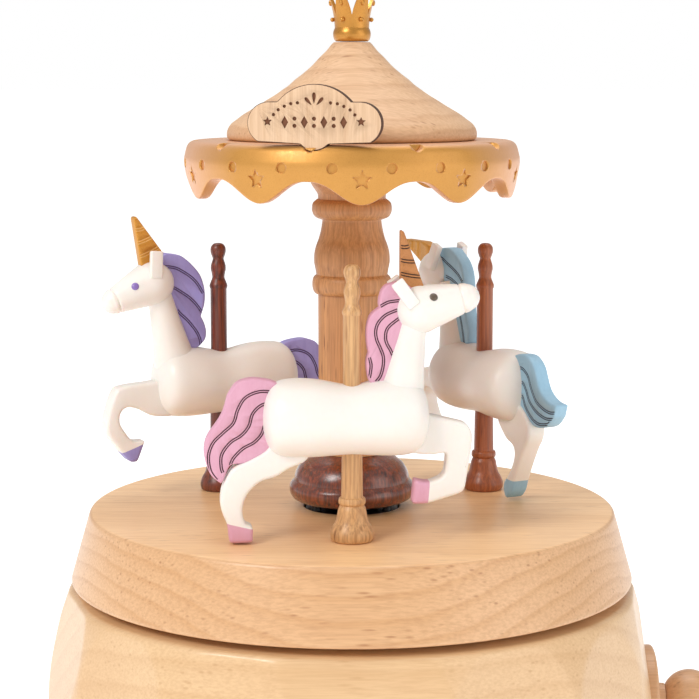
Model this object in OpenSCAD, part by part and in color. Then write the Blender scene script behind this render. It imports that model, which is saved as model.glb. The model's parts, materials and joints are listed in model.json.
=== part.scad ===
// Wind-up carousel music box, millimetres.
// Z is up, z = 0 is the felt underside, the centre post is on the Z axis.
// The winding knob is on the +X side. The sign faces -Y.

/* [Case] */
// height of the wooden base, top edge above the table
base_h = 46.1; // [40:0.1:60]
// widest radius of the base at half height
base_r = 58.6; // [50:0.1:70]
// how much the barrel draws in at its top and bottom edge
base_draw = 4.5; // [1:0.1:8]
// radius of the hollow inside the base
cavity_r = 46; // [38:0.5:50]
// thickness of the base's top wall
base_top_t = 6.1; // [4:0.1:10]
// thickness of the bottom cover
cover_t = 3; // [2:0.1:5]
// thickness of the felt pad
felt_t = 1; // [0.5:0.1:2]
// distance of the flat that the knob sits on from the axis
knob_flat = 56.0; // [54:0.1:58]

/* [Turntable] */
// top radius of the turntable
plat_r = 50; // [40:0.5:60]
// bottom radius of the turntable
plat_r_low = 53.9; // [42:0.1:62]
// thickness of the turntable
plat_t = 13.4; // [8:0.1:20]
// air gap between base and turntable
plat_gap = 1.5; // [0.8:0.1:3]
// radius of the circle the poles stand on
pole_circle = 30.4; // [20:0.1:40]

/* [Knob] */
// height of the winding axis above the table
wind_z = 22.8; // [15:0.1:30]
// radius of the knob's disc
disc_r = 10.2; // [6:0.1:14]
// radius of the knob's ball
ball_r = 5.37; // [3:0.05:8]
// ball centre measured from the centre axis
ball_x = 65.9; // [60:0.1:75]

/* [Upper works] */
// radius of the canopy at its widest
canopy_r = 31.6; // [25:0.1:40]
// number of scallops round the canopy
scallops = 10; // [6:1:16]
// radius of the column's plain shaft
column_r = 6.4; // [4:0.1:9]
// radius of the roof at its eaves
roof_r = 23.5; // [18:0.1:30]
// turn of the sign about the post
sign_az = -102.5; // [-180:0.5:180]

/* [Movement] */
// radius of the centre post where the hub runs
post_r = 3.0; // [2:0.1:4]
// running clearance of shafts in their bores
run = 0.05; // [0.01:0.01:0.1]
// gear module of the turntable drive
drive_m = 0.8; // [0.5:0.1:1.2]
// teeth of the drive gear on the turntable hub
hub_teeth = 40; // [30:1:60]
// teeth of the pinion on the cylinder arbor
out_teeth = 20; // [12:1:30]
// gear module of the movement wheels
move_m = 0.6; // [0.4:0.1:1]
// teeth of the wheel on the music cylinder
cyl_teeth = 24; // [16:1:32]
// teeth of the face gear on the spring barrel
barrel_teeth = 36; // [24:1:48]
// teeth of the governor pinion
gov_teeth = 8; // [6:1:12]
// teeth of the governor worm wheel
worm_wheel_teeth = 16; // [12:1:24]
// radius of the music cylinder
cyl_r = 6.5; // [5:0.1:8]
// number of comb teeth
comb_teeth = 18; // [12:1:22]

/* [Hidden] */
$fn = 64;
eps = 0.02;                       // small overrun for cuts
fit = 0.03;                       // gap of glued joints
z_plat = base_h + plat_gap;       // underside of the turntable
z_top = z_plat + plat_t;          // top of the turntable
z_cav = base_h - base_top_t;      // ceiling of the hollow
z_cov = felt_t + cover_t;         // inner face of the cover
cyl_x = drive_m * (hub_teeth + out_teeth) / 2;   // arbor of the music cylinder
cw_r = move_m * cyl_teeth / 2;    // pitch radius of its wheel
bar_r = move_m * barrel_teeth / 2;
gp_r = move_m * gov_teeth / 2;
ww_r = move_m * worm_wheel_teeth / 2;
gear_z = 34.5;                    // turntable drive
gear_t = 3;
cw_z = wind_z - bar_r - 1.5;      // wheel under the music cylinder
cw_t = 3;
face_x = cyl_x + cw_r + 1.2 * move_m;            // root plane of the face gear
gov_x = cyl_x - (cw_r + gp_r) * cos(45);
gov_y = (cw_r + gp_r) * sin(45);
worm_r = 1.5;
worm_x = gov_x - ww_r - 0.9 * move_m - 0.15 - worm_r;
worm_z = cw_z - 1.5;
comb_y = -(cyl_r + 0.6);
pole_az = [-90, 30, 150];         // where the three poles stand
yaw = [6, 118, 205];              // where the three horses look
nod = [0, -84, -36];              // pitch of each head
head_at = [[11.94, 41.3], [17.6, 42.3], [13.92, 42.0]];   // centre of each head's round back
neck_on = [0, 1, 0.6];             // how far each neck stands forward
neck_h = [14.8, 16.2, 14.8];        // length of each neck's cone
neck_lean = [9.5, 13, 12.5];        // tilt of each neck
ear_at = [[9.0, 44.35, -36], [14.5, 45.6, -20], [14.1, 45.8, -5]];   // x, height and lean of the ears
leg_t = 4;                        // thickness of the leg plates
hair_t = 2.9;                     // thickness of the mane and tail plates
sign_r = 29.6;
pole_r = 1.6;

// ---------- helpers ----------
function arc(r, a, cx = 0, cy = 0) = [cx + r * cos(a), cy + r * sin(a)];

// radius of the barrel at height z
function barrel_at(z) = base_r - base_draw * pow((z - base_h / 2) / (base_h / 2), 2);

// straight-sided gear outline: slim is the tooth's share of the pitch at the pitch line
function gear_pts(n, m, slim = 0.44, add = 0.85, ded = 1.15) = [
  for (i = [0 : n - 1], k = [0 : 3])
    let (p = 360 / n, r = m * n / 2, c = i * p,
         lo = slim * 1.42 / 2 * p, hi = slim * 0.55 / 2 * p)
    k == 0 ? arc(r - ded * m, c - lo) : k == 1 ? arc(r + add * m, c - hi)
    : k == 2 ? arc(r + add * m, c + hi) : arc(r - ded * m, c + lo)];

module bar(r, h, z = 0) { translate([0, 0, z]) cylinder(r = r, h = h); }

// a cylinder along X starting at x
module bar_x(r, l, x, y = 0, z = 0) { translate([x, y, z]) rotate([0, 90, 0]) cylinder(r = r, h = l); }
module bar_y(r, l, x, y, z) { translate([x, y, z]) rotate([-90, 0, 0]) cylinder(r = r, h = l); }

// a turned part: list of [radius, height] pairs round the Z axis
module turned(pts) {
  rotate_extrude()
    polygon(concat([[0, pts[0][1]]], pts, [[0, pts[len(pts) - 1][1]]]));
}

module short_screw() { bar(1.2, 4.5); bar(2.3, 1.2, -1.2); }
module short_screw_places() {
  for (p = [[13, -18], [40, -18], [40, 10]]) translate([p[0], p[1], z_cov + 2]) mirror([0, 0, 1]) children();
  for (s = [-1, 1]) translate([0, 23 * s, z_cav - 1.5]) children();
  for (z = [12, 29]) translate([cyl_x - 0.5, -18, z]) rotate([0, 90, 0]) children();
}
module cover_screw_places() {
  for (a = [45 : 90 : 315]) rotate([0, 0, a]) translate([48.6, 0, felt_t]) children();
}

// ---------- base ----------
// the carved outside: a turned barrel with flat cuts
module carved() {
  n = 14;
  intersection() {
    rotate_extrude()
      polygon(concat([[0, 0.4 + felt_t]],
        [for (i = [0 : 16]) let (z = felt_t + 0.4 + (base_h - felt_t - 0.4) * i / 16) [barrel_at(z), z]],
        [[0, base_h]]));
    difference() {
      translate([0, 0, base_h / 2]) cube([140, 140, 80], center = true);
      for (i = [0 : n - 1]) {
        facet(-111.5 + i * 360 / n, 11 + 2 * sin(i * 97), base_r - 1.25 - 0.2 * sin(i * 71));
        facet(-94 + i * 360 / n + 3 * sin(i * 61), -13 + 3 * sin(i * 83), base_r - 1.3 - 0.2 * cos(i * 53));
      }
      facet(-91, 19, base_r - 1.15);
      translate([knob_flat, -70, -20]) cube([40, 140, 100]);
    }
  }
}
module facet(az, el, d) {
  translate([0, 0, base_h / 2]) rotate([0, 0, az]) rotate([0, -el, 0])
    translate([d, -60, -60]) cube([40, 120, 120]);
}
module base_body() {
  color("burlywood") difference() {
    carved();
    bar(cavity_r, z_cav - z_cov + 10, z_cov - 10);
    bar(51.03, z_cov + eps, -eps);
    translate([30, -22.6, z_cov - 1]) cube([16.5, 38.4, 32]);
    bar(6.5, 20, z_cav - eps);
    bar_x(3.3, 30, 40, 0, wind_z);
    for (s = [-1, 1]) translate([0, 23 * s, z_cav - eps]) cylinder(r = 1.23, h = 3.3);
    cover_screw_places() cylinder(r = 1.23, h = 9.5);
  }
}
module base_bottom() {
  color("tan") difference() {
    bar(51, cover_t, felt_t);
    cover_screw_places() { translate([0, 0, -eps]) cylinder(r = 2.33, h = 1.23); cylinder(r = 1.23, h = 6); }
    for (p = [[13, -18], [40, -18], [40, 10]]) translate([p[0], p[1], z_cov - 2.6]) cylinder(r = 1.23, h = 4);
  }
}
module felt_pad() { color("dimgray") bar(50.5, felt_t); }
module cover_screws() {
  color("silver") cover_screw_places() { cylinder(r = 2.3, h = 1.2); cylinder(r = 1.2, h = 9); }
}
module short_screws() { color("silver") short_screw_places() short_screw(); }
module thrust_washer() {
  color("whitesmoke") difference() { bar(13, plat_gap - 0.1, base_h); bar(6.4, 5, base_h - 1); }
}
module post_bridge() {
  color("silver") difference() {
    union() {
      translate([-6, -20.5, 29]) cube([12, 41, 2]);
      for (s = [-1, 1]) {
        translate([-6, s > 0 ? 18.5 : -20.5, 29]) cube([12, 2, z_cav - 29]);
        translate([-6, s > 0 ? 18.5 : -25.5, z_cav - 1.5]) cube([12, 7, 1.5]);
      }
    }
    bar(2.53, 4, 28);
    for (s = [-1, 1]) translate([0, 23 * s, z_cav - 3]) cylinder(r = 1.23, h = 5);
  }
}
module centre_post() {
  color("silver") {
    bar(4, 1.5, 27.5);
    bar(2.5, 3, 28.5);
    bar(4.4, 2.4, 31);
    bar(post_r, 25.3, 33.4 - eps);
    bar(2.2, z_top + 84 - 58.7 + eps, 58.7 - eps);
  }
}

// ---------- movement ----------
module movement_frame() {
  color("darkgray") difference() {
    union() {
      translate([8, -22, z_cov]) cube([38, 37.2, 2]);
      translate([16, 13.2, z_cov]) cube([30, 2, 28.8]);
      translate([16, -8, 31.2]) cube([13.5, 23.2, 1.6]);
      translate([44, -13, z_cov]) cube([2, 28.2, 30]);
      translate([cyl_x + 0.5, -21, z_cov]) cube([5.5, 6, 28]);
      translate([gov_x - 1.5, gov_y - 1.5, cw_z + cw_t + 0.6]) cube([3, 13.2 - gov_y + 1.5 + eps, 1.2]);
      translate([worm_x - 1.7, -0.5, z_cov]) cube([3.4, 1.3, worm_z - z_cov + 1.8]);
      translate([worm_x - 1.7, 13.2, z_cov]) cube([3.4, 2, worm_z - z_cov + 1.8]);
    }
    translate([cyl_x, 0, z_cov - 1]) cylinder(r = 1.5 + run, h = 4);
    translate([cyl_x, 0, 30]) cylinder(r = 1.5 + run, h = 4);
    translate([gov_x, gov_y, z_cov - 1]) cylinder(r = 0.8 + run, h = 20);
    bar_x(2.5 + run, 6, 42, 0, wind_z);
    bar_y(0.7 + run, 18, worm_x, -1, worm_z);
    translate([44 - 2, click_y, click_z]) rotate([0, 90, 0]) cylinder(r = 0.9 + run, h = 6);
    for (p = [[13, -18], [40, -18], [40, 10]]) translate([p[0], p[1], z_cov - 1]) cylinder(r = 1.23, h = 4);
    for (z = [12, 29]) bar_x(1.23, 4.2, cyl_x, -18, z);
  }
}
// comb: teeth stacked along Z, tips towards the cylinder
comb_z0 = 15.3;
comb_pitch = 0.8;
module comb() {
  color("silver") difference() {
    translate([cyl_x - 0.5, -21, 9]) cube([1, 21 + comb_y, 23]);
    for (z = [12, 29]) bar_x(1.23, 3, cyl_x - 1, -18, z);
    translate([cyl_x - 1, -15, 8]) cube([2, 20, comb_z0 - 8]);
    translate([cyl_x - 1, -15, comb_z0 + comb_teeth * comb_pitch - 0.2]) cube([2, 20, 10]);
    for (i = [1 : comb_teeth - 1])
      translate([cyl_x - 1, -14.5 + 0.12 * i, comb_z0 + i * comb_pitch - 0.2]) cube([2, 12, 0.2]);
  }
}
module music_cylinder() {
  h0 = 14.6; h1 = 30.6;
  color("goldenrod") translate([cyl_x, 0, 0]) difference() {
    union() {
      bar(cyl_r, h1 - h0, h0);
      for (i = [0 : comb_teeth - 1], k = [0 : 2])
        rotate([0, 0, 40 + k * 100 + i * 47]) translate([cyl_r - 0.3, 0, comb_z0 + 0.3 + i * comb_pitch])
          rotate([0, 90, 0]) cylinder(r = 0.15, h = 0.7, $fn = 6);
    }
    bar(1.5 + fit, 40, 0);
  }
}
module cylinder_gears() {
  color("gold") translate([cyl_x, 0, 0]) {
    bar(1.5, 38.5 - z_cov - 0.4, z_cov + 0.4);
    translate([0, 0, cw_z]) linear_extrude(cw_t) polygon(gear_pts(cyl_teeth, move_m));
    bar(3.4, 14.5 - cw_z - cw_t, cw_z + cw_t);
    translate([0, 0, gear_z]) rotate([0, 0, 180 / out_teeth])
      linear_extrude(gear_t) polygon(gear_pts(out_teeth, drive_m));
  }
}
module hub_gear() {
  color("gold") difference() {
    union() {
      bar(6, 58.4 - 33.5, 33.5);
      translate([0, 0, gear_z]) linear_extrude(gear_t) polygon(gear_pts(hub_teeth, drive_m));
    }
    bar(post_r + run, 40, 30);
  }
}
module spring_barrel() {
  color("gold") difference() {
    union() {
      bar_x(bar_r + 0.6, 1.5, face_x, 0, wind_z);
      bar_x(10.4, 8.4, face_x + 1.5 - eps, 0, wind_z);
      for (i = [0 : barrel_teeth - 1])
        translate([face_x, 0, wind_z]) rotate([(i + 0.5) * 360 / barrel_teeth, 0, 0])
          translate([0, 0, bar_r - 0.8]) linear_extrude(1.35)
            polygon([[0.2, -0.38], [0.2, 0.38], [0, 0.38], [-1.2, 0.17], [-1.2, -0.17], [0, -0.38]]);
    }
    bar_x(9.6, 7.2, face_x + 1.2, 0, wind_z);
    bar_x(2.5 + run, 30, face_x - 5, 0, wind_z);
  }
}
module mainspring() {
  n = 110;
  color("steelblue") translate([face_x + 1.6, 0, wind_z]) rotate([90, 0, 90]) linear_extrude(6)
    polygon(concat([for (i = [0 : n]) arc(3.4 + 5.7 * i / n, i * 16.4)],
      [for (i = [n : -1 : 0]) arc(3.75 + 5.7 * i / n, i * 16.4)]));
}
module winding_arbor() {
  color("silver") {
    bar_x(2.5, knob_flat + 1.68 - face_x - 0.3, face_x + 0.3, 0, wind_z);
  }
}
click_y = -9.2;
click_z = wind_z - 2;
module ratchet_wheel() {
  n = 12;
  color("gold") translate([42.6, 0, wind_z]) rotate([90, 0, 90]) difference() {
    linear_extrude(1) polygon([for (i = [0 : n - 1], k = [0, 1])
      k == 0 ? arc(5.0, i * 30 + 1) : arc(6.2, i * 30 + 29)]);
    bar(2.5 + fit, 4, -1);
  }
}
module click() {
  color("silver") {
    translate([42.6, click_y, click_z]) rotate([0, 90, 0]) cylinder(r = 1.7, h = 1);
    translate([42.4, click_y, click_z]) rotate([0, 90, 0]) cylinder(r = 0.9, h = 3.4);
    translate([42.6, 0, 0]) rotate([90, 0, 90]) linear_extrude(1)
      polygon([[click_y - 0.9, click_z + 1.2], [click_y + 1.2, click_z - 0.8], [click_y + 3.5, click_z + 3.6],
        [click_y + 3.1, click_z + 4.6]]);
  }
}
module knob_disc() {
  color("peru") difference() {
    bar_x(disc_r, 2.4, knob_flat + 0.3, 0, wind_z);
    bar_x(2.5 + fit, 1.7, knob_flat, 0, wind_z);
  }
}
module knob_ball() {
  color("peru") {
    bar_x(2.75, 3.4, knob_flat + 2.7, 0, wind_z);
    translate([ball_x, 0, wind_z]) sphere(r = ball_r);
  }
}
module governor_wheel() {
  color("gold") translate([gov_x, gov_y, 0]) {
    bar(0.8, cw_z + cw_t + 1.6 - z_cov - 0.4, z_cov + 0.4);
    translate([0, 0, cw_z]) rotate([0, 0, 22.5]) linear_extrude(cw_t)
      polygon(gear_pts(gov_teeth, move_m, 0.4, 0.75, 1.2));
    translate([0, 0, worm_z - 0.8]) linear_extrude(1.6) polygon(gear_pts(worm_wheel_teeth, move_m));
  }
}
module governor_fan() {
  color("silver") {
    bar_y(0.7, 21.2, worm_x, -0.7, worm_z);
    for (i = [0 : 4]) bar_y(worm_r, 0.6, worm_x, gov_y - 2.8 + i * 1.25, worm_z);
    bar_y(1.1, 6.2, worm_x, gov_y - 3.1, worm_z);
    translate([worm_x - 0.25, 16.2, worm_z - 3.2]) cube([0.5, 4.2, 6.4]);
  }
}

// ---------- turntable ----------
module turntable() {
  color("wheat") difference() {
    rotate_extrude() polygon([[0, z_plat], [plat_r_low - 0.4, z_plat], [plat_r_low, z_plat + 0.4],
      [plat_r + 0.3, z_top - 0.5], [plat_r - 0.3, z_top], [0, z_top]]);
    bar(6 + fit, 30, z_plat - 5);
    bar(9.2, 10, 58.5);
    for (a = pole_az) rotate([0, 0, a]) translate([pole_circle, 0, z_top - 4]) cylinder(r = 1.53, h = 6);
  }
}

// ---------- fixed upper works ----------
module hub_cap() {
  color("black") difference() {
    union() {
      bar(8.9, 2.1, 58.7);
      for (a = [-150, -30, 90]) rotate([0, 0, a]) translate([7.8, 0, 60.7]) cylinder(r = 0.9, h = 1.5);
      bar(5, 2.5, 60.7);
    }
    bar(2.2 + fit, 10, 55);
  }
}
module bell() {
  b = z_top;
  color("saddlebrown") difference() {
    translate([0, 0, b]) turned([[10, 1.2], [11.1, 1.7], [11.8, 2.6], [12, 3.4], [11.8, 4.3], [11.2, 5],
      [10.9, 5.3], [10.6, 6.3], [9.8, 7.8], [8.6, 9.1], [7.2, 10], [column_r, 10.4]]);
    bar(2.2 + fit, 20, b);
    translate([0, 0, b + 1.2 - eps]) cylinder(r = 6.8, h = 3);
  }
}
module column() {
  color("peru") translate([0, 0, z_top]) difference() {
    turned([[column_r, 10.45], [column_r, 40.9], [7, 41.1], [7.45, 42], [7.5, 43.2], [7.3, 44.2], [6.7, 44.7],
      [6.8, 45.6], [7.15, 47], [7.1, 48.6], [6.4, 51.1], [5.85, 53], [5.55, 55], [6.4, 55.3], [7.3, 56],
      [7.55, 57.2], [7.3, 58.3], [6.5, 58.9], [6.5, 59.8], [7.2, 60.6], [7.9, 61.8], [8.1, 65]]);
    bar(2.2 + fit, 70, 5);
  }
}
tip_az = -86.8;
groove_az = -104;
module canopy() {
  color("gold") translate([0, 0, z_top]) difference() {
    rotate_extrude() polygon([[2.25, 65.03], [8, 65.03], [28.3, 65.03], [28.3, 59.4], [30.2, 59.4], [30.6, 61.5],
      [31.1, 63.4], [canopy_r, 65.3], [canopy_r, 66.4], [canopy_r - 0.1, 68.1], [canopy_r - 0.4, 69],
      [canopy_r - 0.8, 70], [2.25, 70]]);
    for (i = [0 : scallops - 1]) {
      rotate([0, 0, tip_az + (i + 0.5) * 360 / scallops]) translate([20, 0, 53.2])
        rotate([0, 90, 0]) cylinder(r = 10.3, h = 20);
      rotate([0, 0, groove_az + i * 360 / scallops]) translate([28.9, 0, 70])
        rotate([0, 90, 0]) cylinder(r = 1.2, h = 6);
    }
    rotate([0, 0, sign_az]) bar_x(3.43, 5, sign_r - 1.05, 0, 72.42);
  }
}
module roof() {
  color("burlywood") translate([0, 0, z_top]) difference() {
    turned([[roof_r - 0.8, 70.05], [roof_r - 0.2, 70.4], [roof_r, 71.6], [22.9, 72.8], [21.8, 73.7], [19, 75.6],
      [15.9, 77.5], [13.1, 79.3], [10.7, 81.2], [8.4, 83], [6, 85.4], [4.85, 86.5], [3.9, 87.6], [3.3, 88.2]]);
    bar(2.2 + fit, 15, 69.2);
  }
}
module crown() {
  color("gold") translate([0, 0, z_top]) difference() {
    union() {
      turned([[3, 88.3], [3.5, 89], [3.5, 90.4], [3.2, 91], [3.3, 91.6], [3.7, 92.1], [3.9, 94.1], [4.4, 95.6],
        [5.1, 97.2], [5.5, 98.9]]);
      for (i = [0 : 5]) rotate([0, 0, i * 60]) translate([5.0, 0, 98.7]) sphere(r = 0.55);
    }
    translate([0, 0, 92.5]) cylinder(r1 = 2.6, r2 = 4.9, h = 6.6);
    for (i = [0 : 2]) rotate([0, 0, i * 60 + 30]) rotate([90, 0, 90]) linear_extrude(14, center = true)
      polygon([[-2.6, 99.5], [0, 93.2], [2.6, 99.5]]);
  }
}
module sign() {
  color("burlywood") rotate([0, 0, sign_az]) translate([sign_r, 0, z_top]) rotate([90, 0, 90])
    linear_extrude(1.8, center = true) union() {
      translate([0, 70.2]) intersection() {
        translate([0, -1.2]) circle(r = 11.6);
        translate([-8.2, 0]) square([16.4, 12]);
      }
      for (s = [-1, 1]) translate([8.2 * s, 73.9]) circle(r = 3.7);
      translate([-8.2, 70.2]) square([16.4, 5]);
      intersection() {
        translate([0, 72.42]) circle(r = 3.35);
        translate([-3, 68]) square([6, 2.5]);
      }
    }
}

// ---------- horses ----------
// x is the way the horse looks, height is above the turntable
module at_pole(k) { rotate([0, 0, pole_az[k]]) translate([pole_circle, 0, z_top]) rotate([0, 0, -pole_az[k]]) children(); }
module at_horse(k) { at_pole(k) rotate([0, 0, yaw[k]]) children(); }
module plate(t, pts) { rotate([90, 0, 0]) linear_extrude(t, center = true) polygon(pts); }
module nodding(k) { translate([head_at[k][0], 0, head_at[k][1]]) rotate([0, -nod[k], 0]) children(); }
// ball-ended taper between two points in the x, height plane
module taper(a, ra, b, rb) {
  d = norm(b - a);
  s = (ra - rb) / d;
  c = sqrt(1 - s * s);
  translate([a[0], 0, a[1]]) rotate([0, 90 - atan2(b[1] - a[1], b[0] - a[0]), 0]) {
    sphere(r = ra);
    translate([0, 0, d]) sphere(r = rb);
    translate([0, 0, ra * s]) cylinder(r1 = ra * c, r2 = rb * c, h = d + (rb - ra) * s);
  }
}
body_z = 22.3;
function body_w(x) = let (t = (x + 15.9) / 29.5)
  7.07 * pow(max(0, 1 - pow(abs(2 * t - 1), 9.5)), 0.5) * (1 - 0.11 * exp(-pow((x + 0.5) / 4.4, 2)));
module trunk() {
  translate([0, 0, body_z]) rotate([0, 90, 0]) rotate_extrude()
    polygon([for (i = [0 : 24]) let (a = i * 7.5, x = -1.15 - 14.75 * cos(a)) [i == 0 || i == 24 ? 0 : body_w(x), x]]);
}
module neck_form(k) {
  translate([8.25 + neck_on[k], 0, 24]) rotate([0, neck_lean[k], 0]) cylinder(r1 = 4.4, r2 = 2.5, h = neck_h[k]);
}
module head_form(k) { nodding(k) taper([0, 0], 4.34, [8.26, 1.95], 2.4); }

module pole(k) {
  at_pole(k) {
    bar(1.5, 4, -4 + eps);
    turned([[3.5, 0], [3.9, 0.7], [3.8, 2], [2.8, 3.9], [2.5, 5.4], [2.2, 6.5], [2.4, 7], [2.35, 7.7], [1.95, 8.1],
      [1.85, 14.6], [pole_r, 14.7], [pole_r, 40.6], [1.75, 41], [pole_r - 0.15, 41.6], [1.15, 42.2], [1.5, 43.9],
      [1.35, 45.3], [1.1, 46.2], [1.3, 46.9], [1.5, 47.8], [1.35, 48.7], [0.7, 49.3]]);
  }
}
module horse_body(k) {
  at_horse(k) difference() { trunk(); bar(pole_r + fit, 40, 0); bar(1.88, 14.75, 0); }
}
module horse_neck(k) {
  at_horse(k) difference() { neck_form(k); trunk(); head_form(k); }
}
module horse_head(k) { at_horse(k) head_form(k); }
module ear_blocks(k, grow = 0) {
  for (s = [-1, 1]) translate([ear_at[k][0], 3.3 * s, ear_at[k][1]]) rotate([8 * s, ear_at[k][2], 0])
    translate([-1.2 - grow, -0.7 - grow, -2.65 - grow]) cube([2.4 + 2 * grow, 1.4 + 2 * grow, 5.3 + 2 * grow]);
}
module horse_ears(k) { at_horse(k) difference() { ear_blocks(k); head_form(k); } }
horn_pts = [
  [[8.2, 55.2], [8.8, 55.2], [12.9, 44], [8.2, 44]],
  [[31.1, 48], [31.1, 47.4], [22.3, 42.7], [19, 42], [19, 46.4], [22.8, 48.1]],
  [[17.1, 55.3], [17.8, 55.1], [16.5, 45.2], [15.6, 43.5], [12, 43.5], [11.7, 47.6]]];
module horse_horn(k) {
  at_horse(k) difference() { plate(2.2, horn_pts[k]); head_form(k); ear_blocks(k, 0.03); }
}
mane_pts = [
  [[8.6, 46.2], [6.9, 46], [5.8, 45.6], [5.1, 44.7], [4.7, 43.2], [4.7, 41.9], [3.2, 40.5], [2.6, 38.9], [2.4, 37],
    [2.7, 34.3], [2.5, 32], [2.5, 30.5], [3.1, 28.3], [8, 28.1], [9.5, 36], [10, 41]],
  [[16.5, 46.6], [14.9, 47.3], [11.5, 47.5], [9.2, 46.4], [7.5, 44.9], [6.3, 43.2], [5.6, 40.8], [5.1, 37.6], [4.9, 34],
    [4.1, 31], [4.6, 28.4], [8.4, 28.1], [10, 34], [13, 40]],
  [[12.6, 47.5], [11.4, 47.8], [10.2, 47.6], [8.5, 47.3], [7.1, 46.4], [5.7, 45.1], [4.4, 43.5], [3.6, 41.7],
    [3.3, 39.2], [3.5, 37.3], [4.2, 35.1], [3.4, 33.4], [3.1, 31.6], [3.6, 30], [4.8, 28.8], [7.6, 28.4], [10, 34],
    [12.4, 42]]];
module horse_mane(k) {
  at_horse(k) difference() {
    plate(hair_t, mane_pts[k]);
    trunk();
    neck_form(k);
    head_form(k);
    ear_blocks(k, 0.03);
    plate(2.3, horn_pts[k]);
  }
}
swept_tail = [[-12.5, 28.4], [-14.2, 29.1], [-17.7, 29.6], [-19.2, 29.3], [-20.5, 28.7], [-21.6, 27.2], [-22.3, 25.2],
  [-23.5, 22.4], [-25.4, 19.8], [-26.1, 17.8], [-26.1, 15.6], [-25.3, 13.2], [-23.1, 10.9], [-21.4, 14],
  [-16.9, 15.5], [-14, 17.5], [-12, 22]];
flicked_tail = [[-12, 28], [-15.1, 29.1], [-17.4, 29.1], [-19.1, 28.4], [-20.5, 27], [-21.3, 25.2], [-22.1, 23.4],
  [-23.4, 22.1], [-25.4, 21.2], [-27.8, 20.8], [-27.1, 18.6], [-25.2, 16.6], [-22.8, 15.8], [-20.2, 15.7],
  [-18.8, 16.6], [-17.1, 18], [-15, 19.3], [-12, 20.5]];
tail_pts = [swept_tail, flicked_tail, swept_tail];
module horse_tail(k) {
  at_horse(k) difference() {
    plate(hair_t, tail_pts[k]);
    trunk();
    plate(6, leg_pts[k]);
  }
}
long_leg = [[-15.4, 16.6], [-18.5, 15], [-21.1, 13.9], [-22.4, 12], [-23.2, 9.8], [-23.4, 7.4], [-22.9, 5.4],
  [-22.2, 3.8], [-21.9, 0.3], [-17.8, 0.3], [-17.5, 3], [-19, 3.6], [-19.5, 6.6], [-18.6, 9.2], [-16.4, 11.4],
  [-13, 12], [-7.6, 14.8], [-8, 20], [-14, 20]];
tucked_leg = [[-8, 20], [-7.5, 15.5], [-9, 13.7], [-11.2, 11.7], [-13.3, 11.2], [-14.2, 9.8], [-13.7, 7.9],
  [-12.4, 5.6], [-10.6, 3.6], [-10.2, 2.6], [-10.9, 0.3], [-11.9, 0.5], [-13.2, 1.9], [-14, 4.2], [-15.9, 7.9],
  [-17.6, 10.9], [-18.9, 12.8], [-19.4, 14.6], [-19, 16.5], [-14, 20]];
leg_pts = [long_leg, tucked_leg, long_leg];
module horse_hindleg(k) {
  at_horse(k) difference() { plate(leg_t, leg_pts[k]); trunk(); }
}
module horse_foreleg(k) {
  at_horse(k) difference() {
    if (k == 0)
      plate(leg_t, [[8, 23.6], [13.4, 22.8], [20.2, 21], [21.2, 20.2], [21.3, 17.6], [19.9, 8.8], [13.5, 6.6],
        [10.7, 6.7], [11.1, 11], [13.4, 10.3], [16.3, 11.6], [16.8, 13], [16.8, 15.4], [16, 16], [13.5, 15.4], [8, 16]]);
    else
      plate(leg_t, [[9, 22.8], [15.6, 22.7], [20.8, 22.2], [22.2, 21], [23.4, 18], [24.2, 14.8], [23.8, 13],
        [20.2, 8.3], [18.9, 7.2], [18, 7.4], [16.4, 11.1], [18.8, 11.5], [21.3, 14.9], [21.2, 16.8], [19.6, 18.2],
        [17, 17.3], [14, 15.8], [9, 16]]);
    trunk();
  }
}
module painted(c, k) { color(c[k]) children(); }
hair = ["pink", "lightblue", "mediumpurple"];
wood = ["burlywood", "sienna", "brown"];

module front_pole() { color(wood[0]) pole(0); }
module front_body() { color("ivory") horse_body(0); }
module front_neck() { color("ivory") horse_neck(0); }
module front_head() { color("ivory") horse_head(0); }
module front_ears() { color("ivory") horse_ears(0); }
module front_horn() { color("peru") horse_horn(0); }
module front_mane() { color(hair[0]) horse_mane(0); }
module front_tail() { color(hair[0]) horse_tail(0); }
module front_foreleg() { color("ivory") horse_foreleg(0); }
module front_hindleg() { color("ivory") horse_hindleg(0); }
module right_pole() { color(wood[1]) pole(1); }
module right_body() { color("ivory") horse_body(1); }
module right_neck() { color("ivory") horse_neck(1); }
module right_head() { color("ivory") horse_head(1); }
module right_ears() { color("ivory") horse_ears(1); }
module right_horn() { color("peru") horse_horn(1); }
module right_mane() { color(hair[1]) horse_mane(1); }
module right_tail() { color(hair[1]) horse_tail(1); }
module right_foreleg() { color("ivory") horse_foreleg(1); }
module right_hindleg() { color("ivory") horse_hindleg(1); }
module left_pole() { color(wood[2]) pole(2); }
module left_body() { color("ivory") horse_body(2); }
module left_neck() { color("ivory") horse_neck(2); }
module left_head() { color("ivory") horse_head(2); }
module left_ears() { color("ivory") horse_ears(2); }
module left_horn() { color("peru") horse_horn(2); }
module left_mane() { color(hair[2]) horse_mane(2); }
module left_tail() { color(hair[2]) horse_tail(2); }
module left_foreleg() { color("ivory") horse_foreleg(2); }
module left_hindleg() { color("ivory") horse_hindleg(2); }

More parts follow.
